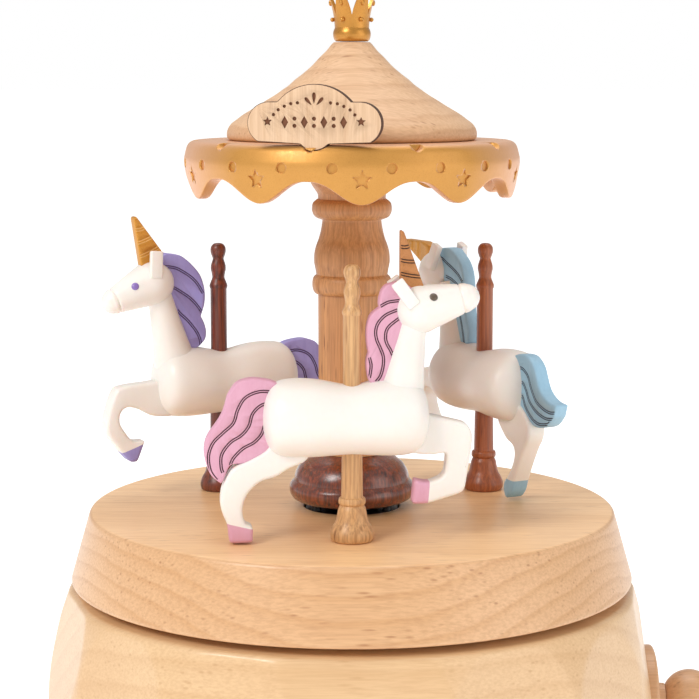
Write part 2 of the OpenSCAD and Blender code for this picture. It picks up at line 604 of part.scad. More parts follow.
base_body();
base_bottom();
felt_pad();
cover_screws();
short_screws();
thrust_washer();
post_bridge();
centre_post();
movement_frame();
comb();
click();
ratchet_wheel();
winding_arbor();
knob_disc();
knob_ball();
spring_barrel();
mainspring();
music_cylinder();
cylinder_gears();
governor_wheel();
governor_fan();
turntable();
hub_gear();
hub_cap();
bell();
column();
canopy();
roof();
sign();
crown();
front_pole();
front_body();
front_neck();
front_head();
front_ears();
front_horn();
front_mane();
front_tail();
front_foreleg();
front_hindleg();
right_pole();
right_body();
right_neck();
right_head();
right_ears();
right_horn();
right_mane();
right_tail();
right_foreleg();
right_hindleg();
left_pole();
left_body();
left_neck();
left_head();
left_ears();
left_horn();
left_mane();
left_tail();
left_foreleg();
left_hindleg();
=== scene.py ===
import json
import math

import bpy
import bmesh
import numpy as np
from mathutils import Matrix, Vector


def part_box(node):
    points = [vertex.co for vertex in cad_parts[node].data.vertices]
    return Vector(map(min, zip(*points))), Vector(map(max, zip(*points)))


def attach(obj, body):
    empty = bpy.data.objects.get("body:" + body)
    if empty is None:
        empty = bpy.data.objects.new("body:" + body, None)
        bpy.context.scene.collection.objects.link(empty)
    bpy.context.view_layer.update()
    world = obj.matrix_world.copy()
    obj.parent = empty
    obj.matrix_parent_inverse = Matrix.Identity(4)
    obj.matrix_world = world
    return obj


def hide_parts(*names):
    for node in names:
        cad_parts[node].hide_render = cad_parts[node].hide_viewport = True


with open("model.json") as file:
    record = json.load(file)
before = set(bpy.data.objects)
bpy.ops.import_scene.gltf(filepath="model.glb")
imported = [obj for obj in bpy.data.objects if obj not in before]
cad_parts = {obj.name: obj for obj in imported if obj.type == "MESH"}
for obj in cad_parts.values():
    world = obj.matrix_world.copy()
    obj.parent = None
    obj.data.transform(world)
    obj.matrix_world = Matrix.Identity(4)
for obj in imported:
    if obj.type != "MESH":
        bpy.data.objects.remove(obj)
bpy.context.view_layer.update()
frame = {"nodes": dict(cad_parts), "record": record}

MM = 0.001
TAU = 2 * math.pi
SCENE = bpy.context.scene


# ---- places from the frame, in mm
def mid(node):
    lo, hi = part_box(node)
    return (lo + hi) / 2


Z_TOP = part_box("turntable")[1].z / MM            # top of the turntable
Z_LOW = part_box("turntable")[0].z / MM            # its underside
BASE_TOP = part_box("base_body")[1].z / MM
BASE_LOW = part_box("base_body")[0].z / MM
POLES = {h: mid(h + "_pole") / MM for h in ("front", "right", "left")}
YAW = {"front": 6.0, "right": 118.0, "left": 205.0}       # where each unicorn looks, degrees
WIND_Z = mid("knob_disc").z / MM                          # height of the winding axis


# ---- materials
MATS = {}


class Mat:
    """Builds one node material and lists it in MATS."""

    def __init__(self, name):
        self.m = MATS[name] = bpy.data.materials.new(name)
        self.m.use_nodes = True
        self.t = self.m.node_tree
        self.b = next(n for n in self.t.nodes if n.type == "BSDF_PRINCIPLED")
        self.co = self.node("ShaderNodeTexCoord").outputs["Object"]

    def node(self, kind, values=(), **settings):
        n = self.t.nodes.new(kind)
        for key, value in settings.items():
            setattr(n, key, value)
        for key, value in dict(values).items():
            n.inputs[key].default_value = value
        return n

    def link(self, a, b):
        self.t.links.new(a, b)

    def feed(self, socket, value):
        """A number, a colour or another node's output goes into a socket."""
        if isinstance(value, (int, float)):
            socket.default_value = value
        elif isinstance(value, tuple):
            socket.default_value = (*value, 1)
        else:
            self.link(value, socket)

    def mapping(self, scale=(1, 1, 1), rot=(0, 0, 0), loc=(0, 0, 0), src=None):
        n = self.node("ShaderNodeMapping", {"Scale": scale, "Rotation": rot, "Location": loc})
        self.link(src or self.co, n.inputs["Vector"])
        return n.outputs["Vector"]

    def noise(self, vec, scale, detail, rough, out="Fac"):
        n = self.node("ShaderNodeTexNoise", {"Scale": scale, "Detail": detail, "Roughness": rough})
        self.link(vec, n.inputs["Vector"])
        return n.outputs[out]

    def ramp(self, fac, stops):
        n = self.node("ShaderNodeValToRGB")
        el = n.color_ramp.elements
        while len(el) < len(stops):
            el.new(0.5)
        for e, (at, value) in zip(el, stops):
            e.position = at
            e.color = (value, value, value, 1)
        self.link(fac, n.inputs["Fac"])
        return n.outputs["Color"]

    def math(self, op, a, b):
        n = self.node("ShaderNodeMath", operation=op)
        self.feed(n.inputs[0], a)
        self.feed(n.inputs[1], b)
        return n.outputs[0]

    def mix(self, fac, a, b, blend="MIX"):
        n = self.node("ShaderNodeMix", data_type="RGBA", blend_type=blend)
        for i, value in ((0, fac), (6, a), (7, b)):
            self.feed(n.inputs[i], value)
        return n.outputs[2]

    def wash(self, col, other, fac, low, high, amount):
        """Lets another colour in where fac rises from low to high."""
        part = self.math("MULTIPLY", self.ramp(fac, [(low, 0.0), (high, 1.0)]), amount)
        return self.mix(part, col, other)

    def bump(self, height, strength, dist):
        n = self.node("ShaderNodeBump", {"Strength": strength, "Distance": dist})
        self.link(height, n.inputs["Height"])
        return n.outputs["Normal"]

    def put(self, **looks):
        names = {"color": "Base Color", "rough": "Roughness", "normal": "Normal", "metal": "Metallic",
                 "coat": "Coat Weight", "coat_rough": "Coat Roughness", "sss": "Subsurface Weight",
                 "sss_scale": "Subsurface Scale", "sheen": "Sheen Weight"}
        for key, value in looks.items():
            self.feed(self.b.inputs[names[key]], value)


def srgb(rgb):
    """Display values from 0 to 255, made linear."""
    return tuple(c / 255 / 12.92 if c / 255 <= 0.04045 else ((c / 255 + 0.055) / 1.055) ** 2.4 for c in rgb)


GRAIN = {"X": (0, math.pi / 2, 0), "Y": (math.pi / 2, 0, 0), "Z": (0, 0, 0)}
RING_WARP = 0.0054          # how far the growth rings wander, m


def wood(name, light, dark, fleck, grain="X", pith=(0, 0, 0), rings=90.0, ring_amt=0.35, fleck_amt=0.5,
         rough=0.42, coat=0.25, seed=0.0, pore=0.25, mottle=0.35, fleck_scale=1.0, fibre_amt=0.2,
         painted_top_light=None):
    """Solid wood: growth rings round a far pith, fine fibre, and short ray flecks along the grain."""
    m = Mat(name)
    light, dark, fleck = srgb(light), srgb(dark), srgb(fleck)
    v = m.mapping(rot=GRAIN[grain], loc=pith)
    drift = m.node("ShaderNodeVectorMath", {"Scale": RING_WARP}, operation="SCALE")
    m.link(m.noise(m.mapping((1, 1, 0.25), loc=(seed, seed * 0.7, 0), src=v), 38, 3, 0.5, "Color"),
           drift.inputs[0])
    warped = m.node("ShaderNodeVectorMath", operation="ADD")
    m.link(v, warped.inputs[0])
    m.link(drift.outputs[0], warped.inputs[1])
    wave = m.node("ShaderNodeTexWave", {"Scale": rings, "Distortion": 1.4, "Detail": 2.0,
                                        "Detail Scale": 0.6},
                  wave_type="RINGS", rings_direction="Z", wave_profile="SAW")
    m.link(warped.outputs[0], wave.inputs["Vector"])
    ring = m.ramp(wave.outputs["Fac"], [(0.0, 0.15), (0.55, 0.35), (0.86, 1.0), (1.0, 0.1)])
    fibre = m.noise(m.mapping((1, 1, 0.035), loc=(seed, 0, seed), src=v), 2400, 5, 0.65)
    slow = m.noise(m.mapping((1, 1, 0.3), loc=(0, seed, 0), src=v), 42, 3, 0.55)
    col = m.mix(m.math("MULTIPLY", ring, ring_amt), light, dark)
    col = m.wash(col, dark, slow, 0.36, 0.66, mottle)
    col = m.wash(col, fleck, fibre, 0.40, 0.62, fibre_amt)
    # ray flecks: stretched cells, let through in patches
    cells = m.node("ShaderNodeTexVoronoi", {"Scale": 1000 * fleck_scale, "Randomness": 1.0},
                   feature="F1", distance="EUCLIDEAN")
    m.link(m.mapping((1, 1, 0.16), loc=(seed * 0.3, seed, 0), src=v), cells.inputs["Vector"])
    spots = m.ramp(cells.outputs["Distance"], [(0.10, 1.0), (0.30, 0.0)])
    patches = m.ramp(m.noise(m.mapping((1, 1, 0.5), src=v), 160, 3, 0.6), [(0.42, 0.0), (0.60, 1.0)])
    spots = m.math("MULTIPLY", spots, patches)
    col = m.mix(m.math("MULTIPLY", spots, fleck_amt), col, fleck)
    if painted_top_light:
        # painted light: the top, where faces point up, is made lighter than the sides, as if lit from above
        up = m.node("ShaderNodeSeparateXYZ")
        m.link(m.node("ShaderNodeNewGeometry").outputs["Normal"], up.inputs[0])
        col = m.mix(m.ramp(up.outputs[2], [(0.80, 0.0), (0.98, 1.0)]), col, painted_top_light, "ADD")
    height = m.math("ADD", m.math("MULTIPLY", fibre, 0.6), m.math("MULTIPLY", spots, -0.8))
    m.put(color=col, rough=m.ramp(fibre, [(0.3, rough - 0.06), (0.7, rough + 0.10)]),
          normal=m.bump(height, pore, 0.00012), coat=coat, coat_rough=0.28)


def paint(name, base, shade, rough=0.42, sss=0.0, brush=0.25, coat=0.0, seed=0.0, grain=0.0):
    """Brushed paint on wood: faint brush lines and a slight colour drift."""
    m = Mat(name)
    base, shade = srgb(base), srgb(shade)
    drift = m.noise(m.mapping(loc=(seed, seed, 0)), 90, 4, 0.55)
    fine = m.noise(m.mapping((1, 1, 0.35), loc=(seed, 0, 0)), 1500, 4, 0.6)
    pimple = m.noise(m.mapping(loc=(0, seed, 0)), 3200, 2, 0.5)
    col = m.wash(base, shade, drift, 0.35, 0.7, 0.35)
    col = m.wash(col, shade, fine, 0.45, 0.75, brush)
    if grain:
        fibre = m.noise(m.mapping((1, 1, 0.06), loc=(seed, 0, 0)), 900, 4, 0.6)
        col = m.wash(col, shade, fibre, 0.45, 0.7, grain)
    height = m.math("ADD", m.math("MULTIPLY", fine, 0.6), m.math("MULTIPLY", pimple, 0.4))
    m.put(color=col, rough=m.ramp(fine, [(0.3, rough - 0.05), (0.7, rough + 0.10)]),
          normal=m.bump(height, 0.16, 0.00008), sss=sss, sss_scale=0.002, coat=coat, coat_rough=0.2)


def metal(name, base, dark, rough=0.3, brushed=(1, 1, 0.05), scale=1200, metallic=1.0, coat=0.0, mott=0.25,
          bump=0.08, speck=0.0, painted_sheen=None):
    """Metal or metallic paint; the optional painted sheen is a second tone put where the surface is seen at
    a low angle.
    """
    m = Mat(name)
    base, dark = srgb(base), srgb(dark)
    fine = m.noise(m.mapping(brushed), scale, 4, 0.6)
    col = m.wash(base, dark, m.noise(m.mapping(), 120, 4, 0.55), 0.35, 0.7, mott)
    if speck:
        col = m.wash(col, dark, m.noise(m.mapping(), 5200, 2, 0.5), 0.50, 0.70, speck)
    # painted sheen: the second tone is mixed in where the surface is seen at a low angle
    if painted_sheen:
        col = m.wash(col, srgb(painted_sheen), m.node("ShaderNodeLayerWeight").outputs["Facing"], 0.30, 0.75, 0.8)
    m.put(color=col, rough=m.ramp(fine, [(0.25, max(0.05, rough - 0.10)), (0.75, rough + 0.12)]),
          metal=metallic, normal=m.bump(fine, bump, 0.00006), coat=coat, coat_rough=0.15)


def felt():
    m = Mat("felt")
    fuzz = m.noise(m.mapping(), 2600, 6, 0.75)
    col = m.mix(m.ramp(fuzz, [(0.3, 0.0), (0.7, 1.0)]), srgb((34, 34, 37)), srgb((66, 66, 70)))
    col = m.mix(m.math("MULTIPLY", m.noise(m.mapping(), 380, 4, 0.6), 0.4), col, srgb((40, 40, 43)))
    m.put(color=col, rough=0.95, normal=m.bump(fuzz, 0.8, 0.0003), sheen=0.4)


# colours: light, dark and fleck for wood; base and shade for paint and metal
wood("base_wood", (231, 195, 150), (208, 164, 116), (182, 132, 84), "X", (0, 0.045, 0.075), rings=60,
     ring_amt=0.42, fleck_amt=0.40, rough=0.34, coat=0.4, seed=3.1, fibre_amt=0.24)
# the turntable's top gets painted light: a warm lift on faces that point up
wood("turntable_wood", (230, 187, 143), (208, 158, 110), (160, 104, 62), "X", (0, 0.020, 0.12), rings=110,
     ring_amt=0.75, fleck_amt=0.6, rough=0.36, fleck_scale=1.1, seed=1.7, fibre_amt=0.26,
     painted_top_light=(0.22, 0.17, 0.09))
wood("roof_wood", (230, 190, 150), (202, 156, 114), (166, 114, 74), "X", (0.0, 0.01, 0.03), rings=120,
     ring_amt=0.62, fleck_amt=0.75, rough=0.48, coat=0.1, seed=5.3, fibre_amt=0.25)
wood("column_wood", (216, 158, 102), (188, 128, 76), (132, 80, 44), "Z", (0.02, 0.03, 0), rings=150,
     ring_amt=0.55, fleck_amt=0.8, rough=0.45, coat=0.15, seed=2.2, fibre_amt=0.4)
wood("pole_light", (226, 180, 126), (196, 142, 88), (132, 84, 46), "Z", (0.01, 0.01, 0), rings=260,
     ring_amt=0.5, fleck_amt=0.9, rough=0.45, coat=0.12, seed=8.4, fibre_amt=0.5, fleck_scale=0.8)
wood("pole_brown", (176, 98, 54), (146, 74, 40), (92, 42, 24), "Z", (0.01, 0.02, 0), rings=240,
     ring_amt=0.5, fleck_amt=0.7, rough=0.40, coat=0.25, seed=4.4, fibre_amt=0.5)
wood("pole_dark", (142, 68, 42), (106, 44, 27), (54, 22, 15), "Z", (0.02, 0.01, 0), rings=240,
     ring_amt=0.55, fleck_amt=0.9, rough=0.40, coat=0.25, seed=6.1, fibre_amt=0.75)
wood("walnut", (150, 74, 46), (104, 46, 28), (38, 16, 12), "Z", (0.01, 0.03, 0), rings=150, ring_amt=0.5,
     fleck_amt=1.0, rough=0.22, coat=0.8, seed=9.2, pore=0.6, fleck_scale=0.7, fibre_amt=0.8, mottle=0.15)
wood("knob_wood", (220, 174, 130), (200, 150, 106), (142, 92, 58), "X", (0, 0.02, 0.01), rings=200,
     rough=0.35, coat=0.3, seed=3.9)
wood("sign_wood", (226, 192, 158), (206, 168, 130), (150, 104, 70), "Z", (0, 0.02, 0), rings=160,
     ring_amt=0.4, fleck_amt=0.8, rough=0.6, coat=0.0, seed=7.7, fibre_amt=0.22)
wood("burnt", (84, 52, 36), (56, 32, 22), (28, 16, 12), "Z", (0, 0.02, 0), rings=160, rough=0.7, coat=0.0,
     seed=2.0)
wood("engraved", (128, 78, 48), (100, 58, 36), (60, 34, 22), "Z", (0, 0.02, 0), rings=160, rough=0.7,
     coat=0.0, seed=2.6)
wood("cover_board", (206, 172, 128), (184, 146, 100), (140, 100, 64), "Y", (0, 0.02, 0.03), rings=120,
     rough=0.6, coat=0.0, seed=8.8)
paint("cream_paint", (240, 235, 229), (232, 222, 212), 0.38, sss=0.12, brush=0.12, coat=0.15, seed=1.1)
paint("pink_paint", (220, 166, 188), (206, 146, 168), 0.5, brush=0.3, seed=2.4, grain=0.3)
paint("blue_paint", (160, 200, 224), (136, 178, 204), 0.5, brush=0.3, seed=3.3, grain=0.3)
paint("lavender_paint", (160, 152, 212), (140, 128, 196), 0.5, brush=0.3, seed=4.2, grain=0.3)
paint("eye_brown", (96, 80, 64), (72, 58, 46), 0.3, coat=0.5, seed=5.0)
paint("eye_violet", (140, 112, 186), (118, 92, 164), 0.3, coat=0.5, seed=5.5)
paint("eye_blue", (110, 158, 190), (88, 134, 166), 0.3, coat=0.5, seed=5.9)
paint("line_dark", (92, 52, 66), (60, 34, 44), 0.6, seed=6.3)
paint("line_violet", (84, 62, 110), (60, 44, 84), 0.6, seed=6.4)
paint("line_blue", (70, 86, 108), (50, 62, 84), 0.6, seed=6.5)
paint("nylon", (228, 228, 220), (210, 210, 202), 0.4, seed=7.0)
metal("horn_wood", (196, 134, 80), (160, 100, 56), 0.46, metallic=0.25, speck=0.5, mott=0.4)
metal("horn_gold", (214, 152, 62), (178, 114, 40), 0.40, metallic=0.45, speck=0.5, mott=0.4)
metal("horn_pale", (236, 190, 118), (214, 160, 86), 0.4, metallic=0.3)
# the canopy's gold paint carries a painted sheen: a peach tone where it is seen at a low angle
metal("gold_paint", (206, 149, 72), (182, 124, 51), 0.44, brushed=(1, 1, 0.3), scale=2600, metallic=0.5,
      coat=0.15, speck=0.35, painted_sheen=(236, 184, 150))
metal("crown_gold", (206, 146, 62), (172, 110, 42), 0.34, brushed=(1, 1, 0.5), scale=2200, metallic=0.65,
      coat=0.2, mott=0.3, speck=0.3)
metal("black_plastic", (26, 26, 28), (16, 16, 17), 0.35, metallic=0.0, scale=2500)
metal("gear_brass", (214, 176, 98), (184, 142, 70), 0.28)
metal("cylinder_brass", (206, 166, 88), (172, 130, 62), 0.24, brushed=(0.05, 0.05, 1))
metal("post_steel", (190, 190, 192), (150, 150, 154), 0.25)
metal("plate_steel", (178, 180, 183), (140, 142, 146), 0.38, brushed=(0.05, 1, 1))
metal("screw_steel", (186, 186, 188), (140, 140, 144))
metal("comb_steel", (198, 200, 204), (160, 162, 168), 0.25, brushed=(1, 0.05, 1))
metal("click_steel", (170, 172, 178), (130, 132, 138), 0.32)
metal("spring_steel", (92, 104, 128), (60, 70, 92))
metal("cast_frame", (168, 168, 168), (132, 132, 132), 0.5, brushed=(1, 1, 1), scale=1600, bump=0.3)
felt()


# ---- mesh helpers, all in mm
def turn(axis, deg):
    return Matrix.Rotation(math.radians(deg), 4, axis)


def shift(x, y, z):
    return Matrix.Translation((x, y, z))


def polar(r, a):
    return r * math.cos(a), r * math.sin(a)


def circle(r, n, x=0.0, z=0.0):
    return [(x + r * math.cos(TAU * k / n), z + r * math.sin(TAU * k / n)) for k in range(n)]


def make(name, bm, mats, angle=38.0, matrix=None):
    """bmesh in mm -> object in metres, smooth with sharp edges over the angle."""
    if matrix is not None:
        bm.transform(matrix)
    bm.transform(Matrix.Scale(MM, 4))
    bmesh.ops.recalc_face_normals(bm, faces=bm.faces)
    lim = math.radians(angle)
    for f in bm.faces:
        f.smooth = True
    for e in bm.edges:
        if len(e.link_faces) == 2:
            e.smooth = e.calc_face_angle(0.0) < lim
    me = bpy.data.meshes.new(name)
    bm.to_mesh(me)
    bm.free()
    ob = bpy.data.objects.new(name, me)
    SCENE.collection.objects.link(ob)
    for m in ([mats] if isinstance(mats, str) else mats):
        me.materials.append(MATS[m])
    return ob


def piece(ob, body, slot, *nodes):
    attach(ob, body)
    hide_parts(*nodes)


def apply_mods(ob):
    bpy.context.view_layer.update()
    dg = bpy.context.evaluated_depsgraph_get()
    me = bpy.data.meshes.new_from_object(ob.evaluated_get(dg), preserve_all_data_layers=True, depsgraph=dg)
    old = ob.data
    ob.modifiers.clear()
    ob.data = me
    bpy.data.meshes.remove(old)


def fillet(pts, radii, steps=5):
    """Rounds the corners of an open polyline."""
    out = []
    for i, (p, r) in enumerate(zip(pts, radii)):
        if i in (0, len(pts) - 1) or r <= 0:
            out.append(p)
            continue
        a, b, c = Vector(pts[i - 1]), Vector(p), Vector(pts[i + 1])
        d = min(r, (a - b).length * 0.49, (c - b).length * 0.49)
        s, e = b + (a - b).normalized() * d, b + (c - b).normalized() * d
        for k in range(steps + 1):
            t = k / steps
            q = s * (1 - t) ** 2 + b * 2 * t * (1 - t) + e * t * t
            out.append((q.x, q.y))
    return out


def curve2(pts, closed=False, per=6):
    """Catmull-Rom curve through 2D points."""
    n = len(pts)

    def at(k):
        return Vector(pts[k % n] if closed else pts[max(0, min(n - 1, k))])

    out = []
    for i in range(n if closed else n - 1):
        p0, p1, p2, p3 = (at(i + k) for k in (-1, 0, 1, 2))
        for k in range(per):
            t = k / per
            q = 0.5 * ((2 * p1) + (p2 - p0) * t + (2 * p0 - 5 * p1 + 4 * p2 - p3) * t * t
                       + (3 * p1 - p0 - 3 * p2 + p3) * t ** 3)
            out.append((q.x, q.y))
    if not closed:
        out.append(tuple(pts[-1]))
    return out


def band(bm, a, b, closed=True):
    """Faces between two rows of vertices."""
    n = len(a)
    for k in range(n if closed else n - 1):
        k2 = (k + 1) % n
        bm.faces.new((a[k], a[k2], b[k2], b[k]))


def lathe(pts, seg=96, closed_profile=False):
    """Revolve (r, z) about Z. Points with r = 0 become poles."""
    bm = bmesh.new()
    rings = []
    for r, z in pts:
        spots = [(0, 0)] if r < 1e-6 else [polar(r, TAU * k / seg) for k in range(seg)]
        rings.append([bm.verts.new((x, y, z)) for x, y in spots])
    pairs = list(zip(rings, rings[1:]))
    if closed_profile:
        pairs.append((rings[-1], rings[0]))
    for a, b in pairs:
        if len(a) > 1 and len(b) > 1:
            band(bm, a, b)
        elif len(a) > 1 or len(b) > 1:
            for k in range(seg):
                k2 = (k + 1) % seg
                bm.faces.new((a[0], b[k2], b[k]) if len(a) == 1 else (a[k], a[k2], b[0]))
    return bm


def inset(P, o):
    """A closed outline moved inwards by o; where it would fold over itself it is pulled straight."""
    if o < 1e-6:
        return P
    t = np.roll(P, -1, 0) - np.roll(P, 1, 0)
    t /= np.maximum(np.linalg.norm(t, axis=1, keepdims=True), 1e-9)
    Q = P - np.stack([t[:, 1], -t[:, 0]], 1) * o
    D = np.roll(P, -1, 0) - P
    L = np.maximum((D ** 2).sum(1), 1e-12)
    W = Q[:, None] - P[None]
    u = np.clip((W * D[None]).sum(2) / L, 0, 1)
    dist = np.sqrt(((W - u[..., None] * D[None]) ** 2).sum(2)).min(1)
    ok = dist > o * 0.94
    if ok.sum() < 8:
        return P
    n = len(P)
    good = np.flatnonzero(ok)
    out = Q.copy()
    for i in np.flatnonzero(~ok):
        k = np.searchsorted(good, i)
        lo, hi = good[k - 1], good[k % len(good)]
        f = ((i - lo) % n) / ((hi - lo) % n)
        out[i] = Q[lo] * (1 - f) + Q[hi] * f
    return out


PLATE_STEP = 0.35           # spacing of a plate's outline points


def plate(outline, t, edge, steps):
    """Closed (x, z) outline extruded along Y by t, with rounded edges made by insets of the outline."""
    P = np.array(outline, float)
    nxt = np.roll(P, -1, 0)
    if (P[:, 0] * nxt[:, 1] - nxt[:, 0] * P[:, 1]).sum() < 0:
        P = P[::-1]
    # even spacing keeps the insets clean
    seg = np.linalg.norm(np.roll(P, -1, 0) - P, axis=1)
    s = np.concatenate([[0], np.cumsum(seg)])
    n = max(24, int(s[-1] / PLATE_STEP))
    q = np.linspace(0, s[-1], n, endpoint=False)
    C = np.vstack([P, P[:1]])
    P = np.stack([np.interp(q, s, C[:, 0]), np.interp(q, s, C[:, 1])], 1)
    levels = []
    for k in range(steps + 1):
        a = math.pi / 2 * k / steps
        levels.append((edge * (1 - math.sin(a)), -t / 2 + edge * (1 - math.cos(a))))
    levels += [(o, -y) for o, y in reversed(levels)]
    bm = bmesh.new()
    loops = [[bm.verts.new((x, y, z)) for x, z in inset(P, o)] for o, y in levels]
    for a, b in zip(loops, loops[1:]):
        band(bm, a, b)
    for loop in (loops[0], loops[-1]):
        f = bm.faces.new(loop)
        f.normal_update()
        bmesh.ops.triangulate(bm, faces=[f], ngon_method="EAR_CLIP")
    return bm


def prism(shape, t, y=0.0):
    """Closed (x, z) shape extruded along Y by t about depth y, sharp edges."""
    bm = bmesh.new()
    a, b = ([bm.verts.new((x, side * t / 2 + y, z)) for x, z in shape] for side in (-1, 1))
    band(bm, a, b)
    for loop in (a, b):
        bmesh.ops.triangulate(bm, faces=[bm.faces.new(loop)])
    return bm


def tube(path, r, seg, y):
    """A closed-ended tube along (x, z) points at depth y: the cutter for an engraved line."""
    bm = bmesh.new()
    rings = []
    for i, p in enumerate(path):
        d = (Vector(path[min(len(path) - 1, i + 1)]) - Vector(path[max(0, i - 1)])).normalized()
        spots = (polar(r, TAU * k / seg) for k in range(seg))
        rings.append([bm.verts.new((p[0] - d.y * u, y + v, p[1] + d.x * u)) for u, v in spots])
    for a, b in zip(rings, rings[1:]):
        band(bm, a, b)
    bm.faces.new(rings[0])
    bm.faces.new(list(reversed(rings[-1])))
    return bm


def join_bm(parts):
    """One bmesh from several."""
    out = bmesh.new()
    for p in parts:
        me = bpy.data.meshes.new("tmp")
        p.to_mesh(me)
        p.free()
        out.from_mesh(me)
        bpy.data.meshes.remove(me)
    return out


def carve(ob, cutter_bm, mat, matrix=None):
    """Cuts the cutters out of ob; the cut faces take the material."""
    cut = make("cutter", cutter_bm, mat, matrix=matrix)
    before = len(ob.data.polygons)
    for solver in ("MANIFOLD", "EXACT"):
        md = ob.modifiers.new("cut", "BOOLEAN")
        md.operation = "DIFFERENCE"
        md.solver = solver
        md.material_mode = "TRANSFER"
        md.object = cut
        apply_mods(ob)
        if len(ob.data.polygons) != before:
            break
        print("carve:", ob.name, solver, "changed nothing")
    bpy.data.objects.remove(cut)


def ball(r, seg, rings, squash=1.0):
    bm = bmesh.new()
    bmesh.ops.create_uvsphere(bm, u_segments=seg, v_segments=rings, radius=r)
    bm.transform(Matrix.Scale(squash, 4, (0, 0, 1)))
    return bm


def box_bm(x, y, z):
    bm = bmesh.new()
    bmesh.ops.create_cube(bm, size=1)
    bm.transform(Matrix.Diagonal((x, y, z, 1)))
    return bm


def placed(bm, matrix):
    bm.transform(matrix)
    return bm


def star(r1, r2, n=5):
    return [polar(r2 if k % 2 else r1, math.pi / 2 + math.pi * k / n) for k in range(2 * n)]


# ---- base
BASE_R, BASE_DRAW, MID_Z = 58.6, 4.5, BASE_TOP / 2        # belly radius, how far its ends draw in
FLATS = 14                                               # flats in each of the two rows
BLEND = 0.09                                             # softness of the edges between the flats
KNOB_FLAT = 56.0                                         # distance of the flat behind the knob
HUB_HOLE, WELL_R, WELL_FLOOR, COVER_R, COVER_Z = 6.5, 46, BASE_TOP - 6.1, 51.03, 4.0


def facet_planes():
    """(normal, distance) of the flats, as in the CAD."""
    def s(d):
        return math.sin(math.radians(d))

    def c(d):
        return math.cos(math.radians(d))

    out = []
    for i in range(FLATS):
        out.append((-111.5 + i * 360 / FLATS, 11 + 2 * s(i * 97), BASE_R - 1.25 - 0.2 * s(i * 71)))
        out.append((-94 + i * 360 / FLATS + 3 * s(i * 61), -13 + 3 * s(i * 83),
                    BASE_R - 1.3 - 0.2 * c(i * 53)))
    out.append((-91, 19, BASE_R - 1.15))
    planes = [(Vector((c(a) * c(e), s(a) * c(e), s(e))), d) for a, e, d in out]
    return planes + [(Vector((1, 0, 0)), KNOB_FLAT)]


def base():
    seg, rows = 600, 110
    th = np.linspace(0, TAU, seg, endpoint=False)
    z = np.linspace(BASE_LOW, BASE_TOP, rows)
    T, Z = np.meshgrid(th, z)
    radii = [BASE_R - BASE_DRAW * ((Z - MID_Z) / MID_Z) ** 2]
    for n, d in facet_planes():
        den = n.x * np.cos(T) + n.y * np.sin(T)
        radii.append(np.where(den > 0.2, (d - n.z * (Z - MID_Z)) / np.maximum(den, 0.2), 1e3))
    radii = np.stack(radii)
    lowest = radii.min(0)
    r = lowest - BLEND * np.log(np.exp(-(radii - lowest) / BLEND).sum(0)) + BLEND * 0.35
    r = np.minimum(r, lowest)
    for edge, at in ((0.9, BASE_TOP), (1.1, BASE_LOW)):    # the rounded top and bottom edges
        u = np.clip(1 - np.abs(Z - at) / edge, 0, 1)
        r = r - edge * (1 - np.sqrt(np.maximum(0, 1 - u ** 2)))
    bm = bmesh.new()
    rings = [[bm.verts.new((*polar(r[j, i], th[i]), z[j])) for i in range(seg)] for j in range(rows)]
    # then down the hub hole, out along the well's floor and down to the cover's recess
    for rr, zz in ((HUB_HOLE, BASE_TOP), (HUB_HOLE, WELL_FLOOR), (WELL_R, WELL_FLOOR), (WELL_R, COVER_Z),
                   (COVER_R, COVER_Z), (COVER_R, BASE_LOW)):
        rings.append([bm.verts.new((*polar(rr, t), zz)) for t in th])
    for a, b in zip(rings, rings[1:] + rings[:1]):
        band(bm, a, b)
    ob = make("carved_base", bm, "base_wood", 50)
    arbor_hole = lathe([(0, 40), (3.3, 40), (3.3, 62), (0, 62)], 48)
    carve(ob, arbor_hole, "base_wood", shift(0, 0, WIND_Z) @ turn("Y", 90))
    carve(ob, box_bm(16.5, 38.4, 32), "base_wood", shift(38.25, -3.4, 19))      # room for the movement
    piece(ob, "case", "base_wood", "base_body")


base()


# ---- turntable
def turntable():
    bore, step_r, step_z = 6.03, 9.2, 58.5
    prof = [(bore, Z_LOW), (53.9, Z_LOW), (50.05, Z_TOP), (step_r, Z_TOP), (step_r, step_z), (bore, step_z),
            (bore, Z_LOW)]
    pts = fillet(prof, [0, 0.9, 0.8, 0.25, 0, 0, 0], 6)[:-1]
    ob = make("turntable_top", lathe(pts, 240, True), "turntable_wood", 30)
    piece(ob, "carousel", "turntable_wood", "turntable")


turntable()


# ---- fixed upper works; heights are above the turntable's top
POST_R = 2.3                # the hole round the post
ROOF_LOW = 70.06


def at_top(pts):
    return [(r, z + Z_TOP) for r, z in pts]


def hub_cap():
    parts = [lathe(at_top(fillet([(0, -2.3), (8.9, -2.3), (8.9, -0.2), (5.2, -0.2), (5, 1.6), (0, 1.6)],
                                 [0, 0, 0.3, 0.2, 0.3, 0], 4)))]
    for a in (-150, -30, 90):
        lug = lathe(at_top([(0, -0.5), (1.05, -0.5), (0.85, 0.2), (0.9, 1.2), (0, 1.2)]), 24)
        parts.append(placed(lug, shift(*polar(7.8, math.radians(a)), 0)))
    piece(make("black_hub", join_bm(parts), "black_plastic", 40), "case", "black_plastic", "hub_cap")


def bell():
    bowl = curve2([(9.6, 1.25), (10.4, 1.3), (11.3, 1.75), (11.85, 2.6), (12, 3.4), (11.85, 4.3),
                   (11.3, 5), (11.05, 5.25)], per=4)
    dome = curve2([(11.05, 5.25), (10.95, 6), (10.6, 7), (9.85, 8.2), (8.7, 9.2), (7.4, 9.9),
                   (6.45, 10.4)], per=4)
    prof = [(6.8, 4.2), (6.8, 1.2)] + bowl + dome[1:] + [(POST_R, 10.4), (POST_R, 4.2)]
    piece(make("walnut_bell", lathe(at_top(prof), 144, True), "walnut", 40), "case", "walnut", "bell")


